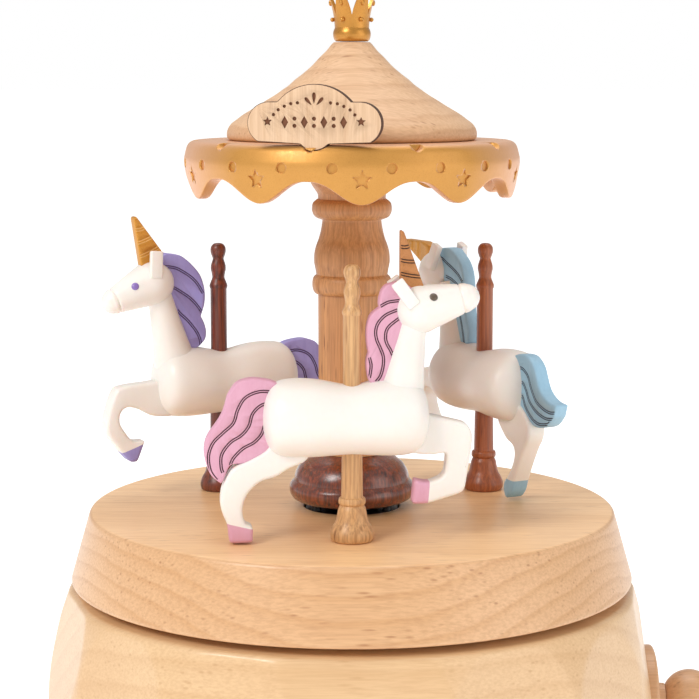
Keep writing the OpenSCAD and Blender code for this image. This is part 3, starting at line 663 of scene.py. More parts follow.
def column():
    shaft = [(6.3 + 0.12 * (z - 10) / 30, z) for z in np.linspace(10.5, 40.9, 24)]
    ring = curve2([(6.5, 40.95), (7.05, 41.15), (7.45, 42), (7.52, 43.1), (7.3, 44.1), (6.72, 44.65)],
                  per=5)
    vase = curve2([(6.78, 44.75), (6.95, 45.8), (7.18, 47.1), (7.1, 48.8), (6.75, 50.2), (6.3, 51.4),
                   (5.88, 53), (5.62, 54.6), (5.62, 55.05)], per=5)
    ring2 = curve2([(6.1, 55.15), (7, 55.6), (7.5, 56.5), (7.56, 57.3), (7.35, 58.2), (6.7, 58.8),
                    (6.42, 58.95)], per=5)
    neck = curve2([(6.4, 59.2), (6.5, 59.9), (7, 60.7), (7.7, 61.8), (8.05, 63.2), (8.1, 64.95)], per=4)
    prof = [(POST_R, 10.5)] + shaft + ring + vase + ring2 + neck + [(POST_R, 64.95)]
    ob = make("turned_column", lathe(at_top(prof), 128, True), "column_wood", 34)
    piece(ob, "case", "column_wood", "column")


CANOPY_R, CANOPY_TOP, FLANK_TOP = 31.5, 70.0, 65.3
CANOPY_IN, CEILING = 28.35, 65.05                 # inside of the skirt, underside of the top
TIPS, TIP, GROOVE = 10, -86.8, -104               # tips of the skirt, first tip and first groove, degrees
SIGN_AZ, SIGN_X = -102.5, 29.6                    # where the sign stands: direction and distance
TAB_R, TAB_Z = 3.35, 72.42                        # the sign's round tab


def skirt(a):
    """Height of the canopy's wavy lower edge."""
    t = (math.cos((a - math.radians(TIP)) * TIPS) + 1) / 2      # 1 at a tip, 0 under an arch
    return 63.6 - 4.05 * t ** 1.25


def flank_r(z):
    """Radius of the canopy, which draws in towards the lip."""
    return CANOPY_R - 1.05 * max(0.0, FLANK_TOP - z) / 5.6


def outward(az, r, z):
    """A place at radius r and height z whose X axis points away from the post."""
    return turn("Z", az) @ shift(r, 0, Z_TOP + z)


def rod(radius, start, stop, seg, az, r, z):
    """A round cutter that lies along the outward direction."""
    bm = lathe([(0, start), (radius, start), (radius, stop), (0, stop)], seg)
    return placed(bm, outward(az, r, z) @ turn("Y", 90))


def canopy():
    seg, rows_out, rows_in = 480, 9, 6
    bm = bmesh.new()
    shoulder = fillet([(24.2, CANOPY_TOP), (30.75, CANOPY_TOP), (31.6, 66.6), (CANOPY_R, FLANK_TOP)],
                      [0, 1.6, 1.2, 0], 6)
    cols = []
    for i in range(seg):
        a = TAU * i / seg
        zb = skirt(a)
        flank = [FLANK_TOP + (zb + 0.25 - FLANK_TOP) * k / rows_out for k in range(1, rows_out + 1)]
        lip = flank_r(flank[-1])
        prof = [(POST_R, CANOPY_TOP), *shoulder, *((flank_r(z), z) for z in flank),
                (lip - 0.1, zb + 0.08), (lip - 0.35, zb), (28.9, zb), (28.5, zb + 0.15)]
        prof += [(CANOPY_IN, zb + 0.15 + (64.9 - zb) * k / rows_in) for k in range(1, rows_in + 1)]
        prof += [(27.9, CEILING), (8.2, CEILING), (POST_R, CEILING)]
        cols.append([bm.verts.new((*polar(r, a), z + Z_TOP)) for r, z in prof])
    for a, b in zip(cols, cols[1:] + cols[:1]):
        band(bm, a, b)
    ob = make("gold_canopy", bm, "gold_paint", 34)

    cuts = []
    step, cut_t = 360 / TIPS, 3.0
    for i in range(TIPS):
        # a star over each tip, square to the flank, and a recessed disc on both sides
        for da, z, shape, depth, lean in ((0, 63.7, star(1.75, 0.84), 0.34, 10.6),
                                          (9.6, 66.0, circle(0.95, 24), 0.40, 0),
                                          (-9.6, 66.0, circle(0.95, 24), 0.40, 0)):
            at = outward(TIP + step * i + da, flank_r(z) - depth + cut_t / 2, z)
            cuts.append(placed(prism(shape, cut_t), at @ turn("Y", lean) @ turn("Z", 90)))
        # a half-round groove across the top edge
        cuts.append(rod(1.2, -3.0, 3.0, 32, GROOVE + step * i, 31.9, CANOPY_TOP))
    cuts.append(rod(TAB_R + 0.08, -1.05, 3.95, 64, SIGN_AZ, SIGN_X, TAB_Z))       # the sign's slot
    carve(ob, join_bm(cuts), "gold_paint")
    piece(ob, "case", "gold_paint", "canopy")


def roof():
    flank = curve2([(23.5, 71.3), (23.25, 72.2), (22.6, 73.1), (21.6, 73.85), (20.4, 74.75), (19, 75.6),
                    (17.4, 76.55), (15.9, 77.5), (14.4, 78.4), (13.1, 79.3), (11.8, 80.2), (10.7, 81.2),
                    (9.5, 82.1), (8.4, 83), (7.3, 84), (6, 85.4), (4.85, 86.5), (3.9, 87.65),
                    (3.4, 88.15)], per=4)
    prof = [(POST_R, ROOF_LOW), (22.9, ROOF_LOW), (23.3, 70.3), (23.48, 70.7)] + flank + [(POST_R, 88.2)]
    piece(make("pagoda_roof", lathe(at_top(prof), 192, True), "roof_wood", 50), "case", "roof_wood", "roof")


def crown_r(z):
    """Outer radius of the crown's points."""
    t = max(0.0, (z - 91) / 7.9)
    return 3.22 + 0.45 * t + 1.85 * t ** 2.2


def crown():
    points, seg, rows, wall = 6, 240, 26, 0.62
    foot = curve2([(3, 88.3), (3.35, 88.7), (3.52, 89.5), (3.45, 90.2), (3.2, 90.8)], per=4)
    bm = bmesh.new()
    cols = []
    for i in range(seg):
        a = TAU * i / seg
        u = abs((points * i / seg + 0.5) % 1 - 0.5) * 2         # 0 on a point's axis, 1 between points
        top = 93.2 + 5.3 * max(0.0, 1 - u) ** 0.85
        out = [90.9 + (top - 90.9) * k / (rows - 1) for k in range(rows)]
        back = [top - 0.02 + (92.4 - top) * k / (rows - 1) for k in range(rows)]
        prof = foot + [(crown_r(z), z) for z in out] + [(crown_r(z) - wall, z) for z in back]
        cols.append([bm.verts.new((*polar(r, a), z + Z_TOP)) for r, z in prof])
    for a, b in zip(cols, cols[1:] + cols[:1]):
        band(bm, a, b, False)
    bm.faces.new([c[0] for c in cols])
    bm.faces.new([c[-1] for c in reversed(cols)])
    parts = [bm]
    for i in range(points):
        # on each point a ball at its tip, a drop below that and a stud on the band
        for bead, r, z in ((ball(0.5, 20, 12), crown_r(98.4) - 0.2, 98.55), (ball(0.42, 20, 12), 3.62, 92.3),
                           (ball(0.34, 16, 10, 1.7), crown_r(95.4) + 0.02, 95.4)):
            parts.append(placed(bead, shift(*polar(r, i * TAU / points), Z_TOP + z)))
    piece(make("gold_crown", join_bm(parts), "crown_gold", 40), "case", "crown_gold", "crown")


def scale_free(m):
    """A matrix for mm turned into one for metres."""
    out = m.copy()
    out.translation = out.translation * MM
    return out


SIGN_T, CUT = 1.8, 0.25         # the sign's thickness and the depth of its engraving
BAND_Z = 73.95                  # height of the ornament band


def arc(x, z, rx, rz, start, stop, step):
    return [(x + rx * math.cos(math.radians(d)), z + rz * math.sin(math.radians(d)))
            for d in range(start, stop, step)]


def drop(deg, z, size):
    """A drop-shaped cut, leaning by deg."""
    c, s = math.cos(math.radians(deg)), math.sin(math.radians(deg))
    out = []
    for k in range(20):
        h = math.cos(TAU * k / 20)
        w = 0.46 * math.sin(TAU * k / 20) * (0.62 + 0.38 * h) * size
        h = 0.95 * h * size
        out.append((s * 1.55 + w * c + h * s, z + c * 1.1 - 0.15 - w * s + h * c))
    return out


def sign():
    """Cloud-shaped plywood plate with burnt edges and engraved ornaments."""
    outline = (arc(8.15, 73.75, 3.85, 3.75, -62, 92, 6) + arc(0, 72.0, 8.5995, 8.55, 40, 141, 4)
               + arc(-8.15, 73.75, 3.85, 3.75, 88, 243, 6) + arc(0, TAB_Z, TAB_R, TAB_R, -138, -41, 6))
    ob = make("laser_sign", plate(outline, SIGN_T, 0.12, 1), ["sign_wood", "burnt"], 30)
    for f in ob.data.polygons:
        if abs(f.normal.y) < 0.8:
            f.material_index = 1
    shapes = []
    for s in (-1, 1):
        for x, z in ((2.95, 77.3), (4.15, 77.15), (5.3, 76.7), (6.4, 76.1), (7.25, 75.25)):
            shapes.append(circle(0.29, 14, s * x, z))
        shapes.append([(s * 8.35 + x, 74.05 + z) for x, z in star(0.86, 0.4)])
    shapes += [drop(0, 77.2, 1.0), drop(-42, 76.9, 0.92), drop(42, 76.9, 0.92)]
    # a band of lozenges and dots
    for i in range(7):
        x = (i - 3) * 1.75
        if i % 2 == 0:
            shapes.append([(x, BAND_Z + 1.1), (x + 0.62, BAND_Z), (x, BAND_Z - 1.1), (x - 0.62, BAND_Z)])
        else:
            shapes += [circle(0.36, 14, x, BAND_Z + dz) for dz in (0.62, -0.62)]
    carve(ob, join_bm([prism(shape, 2 * CUT, -SIGN_T / 2) for shape in shapes]), "engraved")
    ob.data.transform(scale_free(outward(SIGN_AZ, SIGN_X, 0) @ turn("Z", 90)))
    piece(ob, "case", "sign_wood", "sign")


hub_cap()
bell()
column()
canopy()
roof()
crown()
sign()


# ---- knob
BALL_R = 5.37


def knob():
    x0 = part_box("knob_disc")[0].x / MM
    mt = shift(x0, 0, WIND_Z) @ turn("Y", 90)
    disc = fillet([(0, 0), (10.1, 0), (10.2, 2.4), (3.2, 2.4), (2.75, 3.2), (2.7, 4.6)],
                  [0, 0.5, 0.8, 0.3, 0.5, 0], 6)
    a = make("knob_plate", lathe(disc + [(0, 4.6)], 128), "knob_wood", 40, mt)
    piece(a, "winding", "knob_wood", "knob_disc")
    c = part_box("knob_ball")[1].x / MM - BALL_R - x0
    prof = [(0, c - 5.1), (1.7, c - 5.1)]
    prof += [(BALL_R * math.sin(q), c - BALL_R * math.cos(q)) for q in np.linspace(0.36, math.pi, 40)]
    prof[-1] = (0, prof[-1][1])
    b = make("knob_ball_turned", lathe(prof), "knob_wood", 40, mt)
    piece(b, "winding", "knob_wood", "knob_ball")


knob()


# ---- poles
def pole(h, slot):
    foot = curve2([(3.75, 0.25), (3.9, 0.9), (3.85, 1.7), (3.45, 2.7), (2.95, 3.6), (2.65, 4.8), (2.45, 5.8),
                   (2.15, 6.45)], per=4)
    ring = curve2([(2.12, 6.5), (2.38, 6.8), (2.42, 7.3), (2.3, 7.75), (1.98, 7.95)], per=4)
    shaft = [(1.94, 8.1), (1.9, 10.5), (1.86, 13), (1.84, 15), (1.66, 17.5), (1.62, 22), (1.6, 30),
             (1.6, 40.3)]
    top = curve2([(1.72, 40.5), (1.76, 41), (1.5, 41.7), (1.22, 42.5), (1.32, 43.4), (1.48, 44.2),
                  (1.42, 45), (1.15, 45.9), (1.08, 46.3), (1.3, 46.9), (1.5, 47.7), (1.42, 48.5),
                  (1, 49.1), (0.5, 49.3)], per=4)
    prof = [(0, 0), (3.45, 0)] + foot + ring + shaft + top + [(0, 49.33)]
    at = shift(POLES[h].x, POLES[h].y, 0)
    piece(make(h + "_turned_pole", lathe(at_top(prof), 64), slot, 40, at), "carousel", slot, h + "_pole")


# ---- unicorns
def offset2(path, d):
    out = []
    for i, p in enumerate(path):
        t = (Vector(path[min(len(path) - 1, i + 1)]) - Vector(path[max(0, i - 1)])).normalized()
        out.append((p[0] - t.y * d, p[1] + t.x * d))
    return out


def smooth(lobes):
    """One outline from curves that run through each lobe."""
    return [q for lobe in lobes for q in curve2(lobe, per=4)]


# One unicorn's measures in mm: x is the way it looks, the second number is the height above the turntable.
# Outlines of the flat parts are listed lobe by lobe, and the lines are the middles of the paired grooves.
SWEPT_TAIL = [
    [(-12.6, 28.3), (-14.2, 29.05), (-15.9, 29.4), (-17.7, 29.55), (-19.2, 29.3), (-20.5, 28.7),
     (-21.3, 27.7), (-22, 26.5), (-22.35, 25.2), (-22.8, 23.8), (-23.5, 22.4), (-24.5, 21), (-25.4, 19.8),
     (-26, 18.4), (-26.2, 16.8), (-26, 15.2), (-25.5, 13.6), (-24.8, 12.3), (-23.9, 11.5), (-23.2, 11)],
    [(-22.7, 11.8), (-22, 13.6), (-21.2, 14.4), (-18.4, 14.6), (-15.6, 15.6), (-13.6, 17.8), (-12.4, 22)]]
FLICKED_TAIL = [
    [(-12, 28.2), (-14.2, 29), (-16.8, 29.1), (-18.5, 28.5), (-20, 27.2), (-20.9, 25.4), (-21.8, 23.6),
     (-23.1, 22.3), (-25.3, 21.25), (-27.7, 20.9)],
    [(-27, 18.6), (-25, 16.7), (-22.5, 15.9), (-20, 15.85), (-18.5, 16.7), (-16.8, 18.1), (-14.8, 19.3),
     (-12.2, 20.6)]]
SWEPT_LINES = [
    [(-13.3, 27), (-16.2, 27.3), (-18.8, 26.3), (-20.2, 24.2), (-21, 21.8), (-22.8, 20.1), (-24.6, 18.3),
     (-25.4, 16), (-25.1, 13.4), (-24, 11.7)],
    [(-13.8, 25.3), (-16, 24.9), (-17.6, 23.4), (-18.3, 21.2), (-19.6, 19.6), (-21.6, 18.3), (-23.1, 16.2),
     (-23.2, 14), (-22.9, 13)],
    [(-14.4, 22.6), (-15.4, 21.6), (-16.1, 19.7), (-17.4, 18.3), (-19.4, 17.2), (-21, 15.6), (-21.6, 14.3)]]
FLICKED_LINES = [
    [(-13.9, 26.6), (-16.2, 26.4), (-18, 25.2), (-19.1, 23.1), (-20.8, 20.9), (-23, 19.8), (-25.4, 19.3),
     (-27.4, 19.5)],
    [(-13.9, 24.2), (-16.2, 23.7), (-17.5, 22.3), (-18.5, 20.6), (-20.8, 18.9), (-24.1, 18), (-26.8, 18.2)],
    [(-13.9, 21.8), (-16.2, 21), (-17.3, 19.2), (-19.4, 17.4), (-21.8, 16.6), (-24.6, 16.9), (-25.6, 17.4)]]
LONG_LEG = [(-8, 15.2), (-11.5, 13.4), (-13.6, 12.1), (-16.4, 11.2), (-18.6, 9.1), (-19.5, 6.5),
    (-19.1, 4), (-17.8, 3.1), (-17.75, 1.4), (-17.9, 0.5), (-19.8, 0.35), (-21.7, 0.5), (-22, 2.1),
    (-22.3, 3.9), (-23, 5.6), (-23.4, 7.4), (-23.2, 9.7), (-22.4, 11.9), (-21.1, 13.8), (-18.5, 15),
    (-15.6, 16.6), (-13, 19), (-9, 18.5)]
TUCKED_LEG = [(-8.4, 19), (-7.7, 15.8), (-9.1, 13.8), (-11.2, 12), (-13.2, 11.2), (-14, 9.9),
    (-13.6, 8), (-12.3, 5.7), (-10.6, 3.7), (-10.2, 2.5), (-10.8, 0.7), (-11.8, 0.6), (-13.1, 2),
    (-14, 4.3), (-15.8, 7.9), (-17.5, 10.9), (-18.8, 12.8), (-19.3, 14.7), (-18.4, 16.9), (-14, 20)]
REACHING_LEG = [(8.5, 23.2), (13.4, 22.7), (20.4, 21), (21.35, 19), (21.2, 17.2), (19.9, 8.7),
    (13.4, 6.7), (10.6, 6.7), (11, 11.1), (13.3, 10.4), (16.4, 11.6), (16.8, 15.9), (13.5, 15.4),
    (8.5, 16.2)]
REACHING_R = [0, 0.6, 1.3, 1.2, 3, 1.2, 2.0, 0.4, 0.4, 1.5, 1.4, 1.0, 2.0, 0]
RAISED_LEG = [(9, 16.4), (14.2, 16), (17, 17.35), (19.5, 18.1), (21, 17.2), (21.3, 15.2),
    (20.3, 13.3), (18.8, 11.5), (16.6, 11.2), (16.4, 10.9), (17.7, 7.6), (18.3, 7.25), (19.4, 7.45),
    (21.4, 9.7), (23.7, 12.8), (24.1, 14.6), (23.5, 17.8), (22.3, 20.9), (20.9, 22.1), (15.6, 22.6),
    (9.5, 22.6)]
# a leg: its outline, a point on the hoof's upper edge and the way the hoof points
LONG = (curve2(LONG_LEG, True, 4), (-20, 3.35), (-0.25, -1))
TUCKED = (curve2(TUCKED_LEG, True, 4), (-12, 4.3), (0.1, -1))
REACHING = (fillet(REACHING_LEG, REACHING_R, 6), (13.5, 8.6), (-1, 0.08))
RAISED = (curve2(RAISED_LEG, True, 4), (18.9, 9.9), (-0.35, -1))
# angles in degrees: nod of the head, lean of the neck, tilt of the ears
UNICORNS = {
    "front": dict(
        nod=0.0, head=(11.94, 41.3), neck=(8.25, 9.5), ear=(9.0, 44.35, -36.0), eye=(2, 2.45), crease=7.6,
        horn=((8.7, 55.2), (8.4, 46.9), (12.5, 45.6)), rings=(0.07, 0.35, 0.63),
        mane=[
            [(10.4, 45.2), (8.6, 46.2), (6.9, 46), (5.8, 45.6), (5.1, 44.7), (4.75, 43.6), (4.6, 42.6),
             (4.7, 41.8)],
            [(4.7, 41.7), (4.1, 41.3), (3.2, 40.5), (2.7, 39.3), (2.45, 37.9), (2.45, 36.1), (2.65, 34.5),
             (2.8, 33.85)],
            [(2.8, 33.8), (2.55, 33), (2.4, 31.9), (2.5, 30.5), (2.8, 29.1), (3.4, 28.2), (4.8, 28.1)],
            [(8.2, 28.1), (9.6, 36), (10.2, 41)]],
        lines=[
            [(8.2, 43), (6.5, 42.8), (5.7, 42.5), (4.8, 42)],
            [(8, 41.4), (6.2, 40.7), (5.1, 39.9), (4.3, 38.8), (4, 37.5), (4.2, 36.1), (4.8, 34.7),
             (5.3, 33.4), (5.4, 32.2), (5.2, 30.8), (4.8, 29.6), (4.1, 28.7)],
            [(8.2, 39.9), (6.6, 38.7), (5.9, 37.7), (5.75, 36.4), (6, 35.4), (6.6, 34.3), (7.2, 33)],
            [(2.9, 33), (3.2, 31.7), (3.1, 30.5), (2.9, 29.4)]],
        tail=SWEPT_TAIL, tail_lines=SWEPT_LINES, hind=LONG, fore=REACHING),
    "right": dict(
        nod=-84.0, head=(17.6, 42.3), neck=(9.25, 13), ear=(14.5, 45.6, -20.0), eye=(3.2, 2.45), crease=8.0,
        horn=((31, 47.7), (22.9, 48), (22.3, 43)), rings=(0.12, 0.4, 0.68),
        mane=[
            [(16.8, 46.2), (14.9, 47.25), (11.6, 47.4), (9.3, 46.3), (7.4, 44.8), (6.25, 43), (5.75, 40.9),
             (5.45, 38), (5.3, 35.6)],
            [(5.25, 35.5), (4.9, 34), (4.2, 32.1), (4.15, 30.6), (4.9, 28.4), (7.2, 28.2)],
            [(8.6, 28.2), (10.2, 34), (13.2, 40)]],
        lines=[
            [(15.6, 45.5), (14, 45.1), (12.4, 44.4), (10.3, 43.6), (8.1, 42.5), (6.3, 41.1)],
            [(12.8, 41.7), (10.6, 41.3), (8.4, 40.4), (6.6, 39)],
            [(8.6, 36), (7.4, 34.6), (6.6, 32.9), (6, 30.9), (5.5, 28.9)]],
        tail=FLICKED_TAIL, tail_lines=FLICKED_LINES, hind=TUCKED, fore=RAISED),
    "left": dict(
        nod=-36.0, head=(13.92, 42), neck=(8.85, 12.5), ear=(14.1, 45.8, -5.0), eye=(3.7, 2.45), crease=8.1,
        horn=((17.5, 55), (11.9, 48), (16.3, 45.3)), rings=(0.12, 0.4, 0.66),
        mane=[
            [(12.4, 47.2), (11.4, 47.75), (10.2, 47.6), (8.5, 47.3), (7.1, 46.4), (5.7, 45.1), (4.4, 43.5),
             (3.65, 41.7), (3.3, 39.7), (3.4, 37.7), (3.8, 36.3), (4.2, 35.2)],
            [(4.2, 35.1), (3.6, 34), (3.15, 32.4), (3.25, 30.8), (3.9, 29.9), (4.8, 29.1), (5.8, 28.7)],
            [(7.6, 28.4), (10, 34), (12.4, 42)]],
        lines=[
            [(12, 45.3), (9.6, 44.9), (7.8, 44), (6.1, 42.8), (4.9, 41.5), (3.8, 39.7)],
            [(10.6, 41.2), (9.6, 40.9), (8, 39.9), (6.6, 38.9), (5.3, 37.6), (4.1, 36)],
            [(9.2, 36.6), (8.5, 35.8), (7.2, 34.6), (6, 33.2), (5.1, 31.9), (4.5, 30.5), (4.4, 29.4)]],
        tail=SWEPT_TAIL, tail_lines=SWEPT_LINES, hind=LONG, fore=RAISED),
}
LEG_T, HAIR_T, HORN_T = 3.95, 2.85, 2.1           # thickness of the flat parts
HAIR_GAP, HAIR_CUT, HORN_CUT = 0.36, 0.12, 0.11   # spacing of paired grooves, half their widths
TRUNK_X, TRUNK_HALF, TRUNK_R, TRUNK_Z, WAIST_X = -1.15, 14.75, 7.07, 22.3, -0.5
NECK_Z, HOOF_TOP = 24, 12.5                       # foot of the neck; no hoof paint above this height
HEAD_R, MUZZLE_R = 4.34, 2.4
HEAD_AXIS = Vector((8.26, 1.95))                  # from the back of the head to the muzzle, without a nod
HEAD_LEN = HEAD_AXIS.length
LIFT = math.atan2(HEAD_AXIS.y, HEAD_AXIS.x)
TAPER = (HEAD_R - MUZZLE_R) / HEAD_LEN            # sine of the head's half angle
TAPER_COS = math.sqrt(1 - TAPER * TAPER)


def waist(x):
    return math.exp(-((x - WAIST_X) / 4.6) ** 2)


def trunk_r(x):
    t = (x - TRUNK_X + TRUNK_HALF) / (2 * TRUNK_HALF)
    return TRUNK_R * max(0.0, 1 - abs(2 * t - 1) ** 9.5) ** 0.5 * (1 - 0.112 * waist(x)) * (1 - 0.012 * t)


def trunk():
    """Lying along X, with a small dip round the pole."""
    steps = 72
    xs = [TRUNK_X - TRUNK_HALF * math.cos(math.pi * k / steps) for k in range(steps + 1)]
    bm = lathe([(0.0 if k in (0, steps) else trunk_r(x), x) for k, x in enumerate(xs)], 72)
    bm.transform(shift(0, 0, TRUNK_Z) @ turn("Y", 90))
    for v in bm.verts:
        v.co.z -= 0.4 * waist(v.co.x)
    return bm


def head(crease):
    """A ball-ended taper along Z with a crease behind the muzzle."""
    lean = math.asin(TAPER)
    prof = [(HEAD_R * math.sin(q), -HEAD_R * math.cos(q)) for q in np.linspace(0, math.pi / 2 + lean, 26)]
    x0, x1 = HEAD_R * TAPER, HEAD_LEN + MUZZLE_R * TAPER
    for q in np.linspace(0.04, 0.985, 46):
        x = x0 + (x1 - x0) * q
        swell = 0.10 * math.exp(-((x - crease - 0.9) / 0.7) ** 2)
        groove = 0.24 * math.exp(-((x - crease) / 0.16) ** 2)
        prof.append(((HEAD_R - TAPER * x) / TAPER_COS + swell - groove, x))
    prof += [(MUZZLE_R * math.cos(q), HEAD_LEN + MUZZLE_R * math.sin(q))
             for q in np.linspace(lean, math.pi / 2, 16)]
    prof[0], prof[-1] = (0, -HEAD_R), (0, HEAD_LEN + MUZZLE_R)
    return lathe(prof, 72)


def ears(x, z, tilt):
    """Two small blocks with softened edges."""
    out = []
    for side in (-1, 1):
        e = box_bm(2.4, 1.4, 5.3)
        bmesh.ops.bevel(e, geom=list(e.edges), offset=0.28, segments=3, profile=0.5, affect="EDGES")
        out.append(placed(e, shift(x, 3.3 * side, z) @ turn("Y", tilt) @ turn("X", 8 * side)))
    return join_bm(out)


def eyes(x, z):
    """Small painted domes on both cheeks, square to the surface."""
    along = Vector((x, z)).dot(HEAD_AXIS) / HEAD_LEN
    over = (z * HEAD_AXIS.x - x * HEAD_AXIS.y) / HEAD_LEN
    r = (HEAD_R - TAPER * along) / TAPER_COS
    cheek = math.sqrt(r * r - over * over)
    out = []
    for side in (-1, 1):
        n = Vector((-over / r * math.sin(LIFT), side * cheek / r, over / r * math.cos(LIFT)))
        n = (n * TAPER_COS + Vector((math.cos(LIFT), 0, math.sin(LIFT))) * TAPER).normalized()
        out.append(placed(ball(0.74, 24, 12, 0.35),
                          shift(x, side * cheek, z) @ n.to_track_quat("Z", "Y").to_matrix().to_4x4()))
    return join_bm(out)


def horn(corners, heights):
    """A flat blade's outline and its pairs of fine lines."""
    tip, rear, front = (Vector(q) for q in corners)
    root = ((rear + front) / 2 - tip).normalized() * 2.6          # the part sunk into the head
    side = (front - rear).normalized() * 0.3
    out = fillet([rear + root, rear, tip - side, tip + side, front, front + root, rear + root],
                 [0, 0, 0.3, 0.3, 0, 0, 0], 3)[:-1]
    down = root.normalized()
    lines = []
    for f in heights:
        a, b = rear.lerp(tip, f), front.lerp(tip, f)
        for dz in (0, 0.5):
            path = [a.lerp(b, k / 8) - down * (dz + 0.6 * max(0, k / 8) ** 1.8) for k in range(-1, 10)]
            lines.append([(q.x, q.y) for q in path])
    return [tuple(q) for q in out], lines


def horse(h, hair, horn_slot, horn_line, line, eye):
    U = UNICORNS[h]
    M = shift(POLES[h].x, POLES[h].y, Z_TOP) @ turn("Z", YAW[h])
    H = M @ shift(U["head"][0], 0, U["head"][1]) @ turn("Y", -U["nod"])

    def part(name, bm, slot, angle, matrix, node):
        piece(make(h + name, bm, slot, angle, matrix), "carousel", "cream_paint", h + node)

    def grooved(name, outline, t, edge, paths, width, slot, cut, node):
        """A flat part with fine grooves cut into both of its sides."""
        ob = make(h + name, plate(outline, t, edge, 3), slot, 40)
        carve(ob, join_bm([tube(q, width, 6, y) for q in paths for y in (-t / 2, t / 2)]), cut)
        ob.data.transform(scale_free(M))
        piece(ob, "carousel", slot, h + node)

    part("_trunk", trunk(), "cream_paint", 60, M, "_body")
    top = 17.0 if h == "right" else 16.0
    prof = fillet([(0, 0.4), (4.3, 0.4), (4, 3.5), (3.58, 5.8), (3.15, 9.1), (2.75, 12), (2.4, top),
                   (0, top)], [0, 0.3, 2, 2, 2, 2, 0.3, 0])
    at = M @ shift(U["neck"][0], 0, NECK_Z) @ turn("Y", U["neck"][1])
    part("_neck_turned", lathe(prof, 64), "cream_paint", 50, at, "_neck")
    at = H @ turn("Y", 90 - math.degrees(LIFT))
    part("_head_turned", head(U["crease"]), "cream_paint", 70, at, "_head")
    part("_ear_pair", ears(*U["ear"]), "cream_paint", 45, M, "_ears")
    ey = make(h + "_eyes", eyes(*U["eye"]), eye, 60, H)
    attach(ey, "carousel")

    outline, lines = horn(U["horn"], U["rings"])
    grooved("_horn_plate", outline, HORN_T, 0.22, lines, HORN_CUT, horn_slot, horn_line, "_horn")
    for name, lobes, middles in (("mane", U["mane"], U["lines"]), ("tail", U["tail"], U["tail_lines"])):
        lines = [offset2(curve2(q), side * HAIR_GAP / 2) for q in middles for side in (1, -1)]
        grooved("_" + name + "_plate", smooth(lobes), HAIR_T, 0.4, lines, HAIR_CUT, hair, line, "_" + name)

    for name, (outline, edge, way) in (("_hindleg", U["hind"]), ("_foreleg", U["fore"])):
        bm = plate(outline, LEG_T, 0.7, 4)
        edge, way = Vector((edge[0], 0, edge[1])), Vector((way[0], 0, way[1])).normalized()
        bmesh.ops.bisect_plane(bm, geom=list(bm.verts) + list(bm.edges) + list(bm.faces), plane_co=edge,
                               plane_no=way)
        for f in bm.faces:
            c = f.calc_center_median()
            f.material_index = int((c - edge).dot(way) > 0 and c.z < HOOF_TOP)
        part(name + "_plate", bm, ["cream_paint", hair], 40, M, name)


pole("front", "pole_light")
pole("right", "pole_brown")
pole("left", "pole_dark")
horse("front", "pink_paint", "horn_wood", "burnt", "line_dark", "eye_brown")
horse("right", "blue_paint", "horn_gold", "horn_pale", "line_blue", "eye_blue")
horse("left", "lavender_paint", "horn_gold", "horn_pale", "line_violet", "eye_violet")


# ---- CAD nodes that stay: the movement, cover and screws
SLOT_OF = {s["node"]: s["material_slot"] for s in frame["record"]["subparts"]}
for name, ob in frame["nodes"].items():
    if not ob.hide_render:
        ob.data.materials.clear()
        ob.data.materials.append(MATS[SLOT_OF[name]])


# ---- floor, lights, camera
def floor():
    """A plain sheet that glows enough to meet the white background without an edge."""
    bm = bmesh.new()
    bmesh.ops.create_grid(bm, x_segments=1, y_segments=1, size=60000)
    m = Mat("floor_paper")
    patchy = m.math("MULTIPLY", m.noise(m.mapping(), 60, 3, 0.5), 0.05)
    m.put(color=m.mix(patchy, (0.56, 0.56, 0.56), (0.54, 0.54, 0.54)), rough=0.9)
    m.b.inputs["Emission Color"].default_value = (1, 1, 1, 1)
    m.b.inputs["Emission Strength"].default_value = 0.80
    make("floor_sheet", bm, "floor_paper")


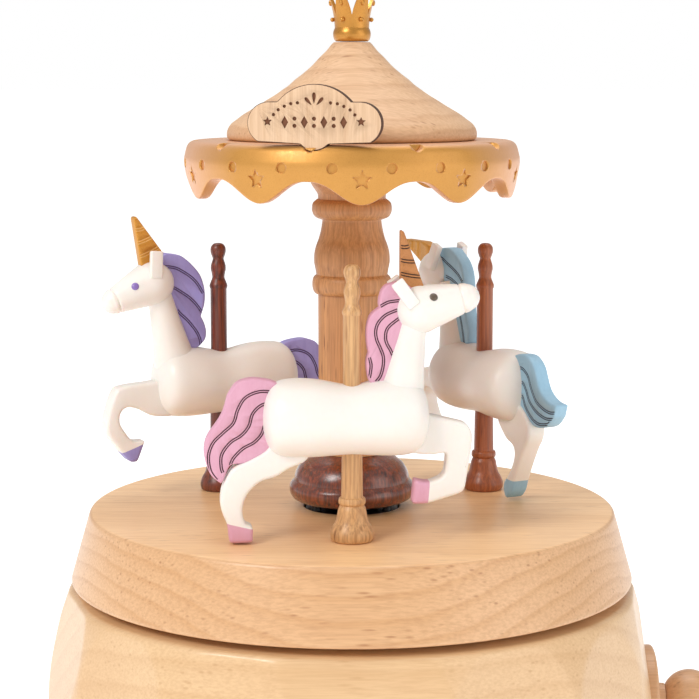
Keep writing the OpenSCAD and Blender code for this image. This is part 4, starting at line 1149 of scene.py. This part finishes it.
def area(name, at, look, size, energy, color=(1, 1, 1)):
    light = bpy.data.lights.new(name, "AREA")
    light.shape = "RECTANGLE"
    light.size = light.size_y = size
    light.energy = energy
    light.color = color
    ob = bpy.data.objects.new(name, light)
    ob.location = at
    ob.rotation_mode = "QUATERNION"
    ob.rotation_quaternion = (Vector(look) - Vector(at)).to_track_quat("-Z", "Y")
    SCENE.collection.objects.link(ob)


def studio():
    """White where the camera sees it, half as bright where it lights the object."""
    world = bpy.data.worlds.new("studio")
    world.use_nodes = True
    wt = world.node_tree
    lit = wt.nodes["Background"]
    lit.inputs["Color"].default_value = (1, 0.995, 0.985, 1)
    lit.inputs["Strength"].default_value = 0.50
    seen = wt.nodes.new("ShaderNodeBackground")
    seen.inputs["Color"].default_value = (1, 1, 1, 1)
    seen.inputs["Strength"].default_value = 1.0
    both = wt.nodes.new("ShaderNodeMixShader")
    rays = wt.nodes.new("ShaderNodeLightPath")
    for a, b in ((rays.outputs["Is Camera Ray"], both.inputs[0]), (lit.outputs[0], both.inputs[1]),
                 (seen.outputs[0], both.inputs[2]),
                 (both.outputs[0], wt.nodes["World Output"].inputs["Surface"])):
        wt.links.new(a, b)
    SCENE.world = world


floor()
studio()
area("key", (-0.60, -0.62, 0.72), (0, 0, 0.09), 0.36, 5.2, (1.0, 0.985, 0.96))
area("fill", (0.8, -0.5, 0.35), (0, 0, 0.08), 0.7, 1.9, (1.0, 0.955, 0.91))
area("top", (0.0, 0.15, 0.95), (0, 0, 0.1), 0.8, 3.6)

CAM_PITCH, CAM_RISE = 7.67, 82.0        # degrees below level, mm above the turntable's top
cam = bpy.data.cameras.new("camera")
cam.sensor_width = 36
cam.lens = 104.8
cam.clip_start, cam.clip_end = 0.01, 20
cam_ob = bpy.data.objects.new("camera", cam)
cam_ob.location = (-0.00045, -0.3847, (Z_TOP + CAM_RISE) * MM)
cam_ob.rotation_euler = (math.radians(90 - CAM_PITCH), 0, 0)
SCENE.collection.objects.link(cam_ob)
SCENE.camera = cam_ob
SCENE.view_settings.view_transform = "Standard"
SCENE.view_settings.look = "None"
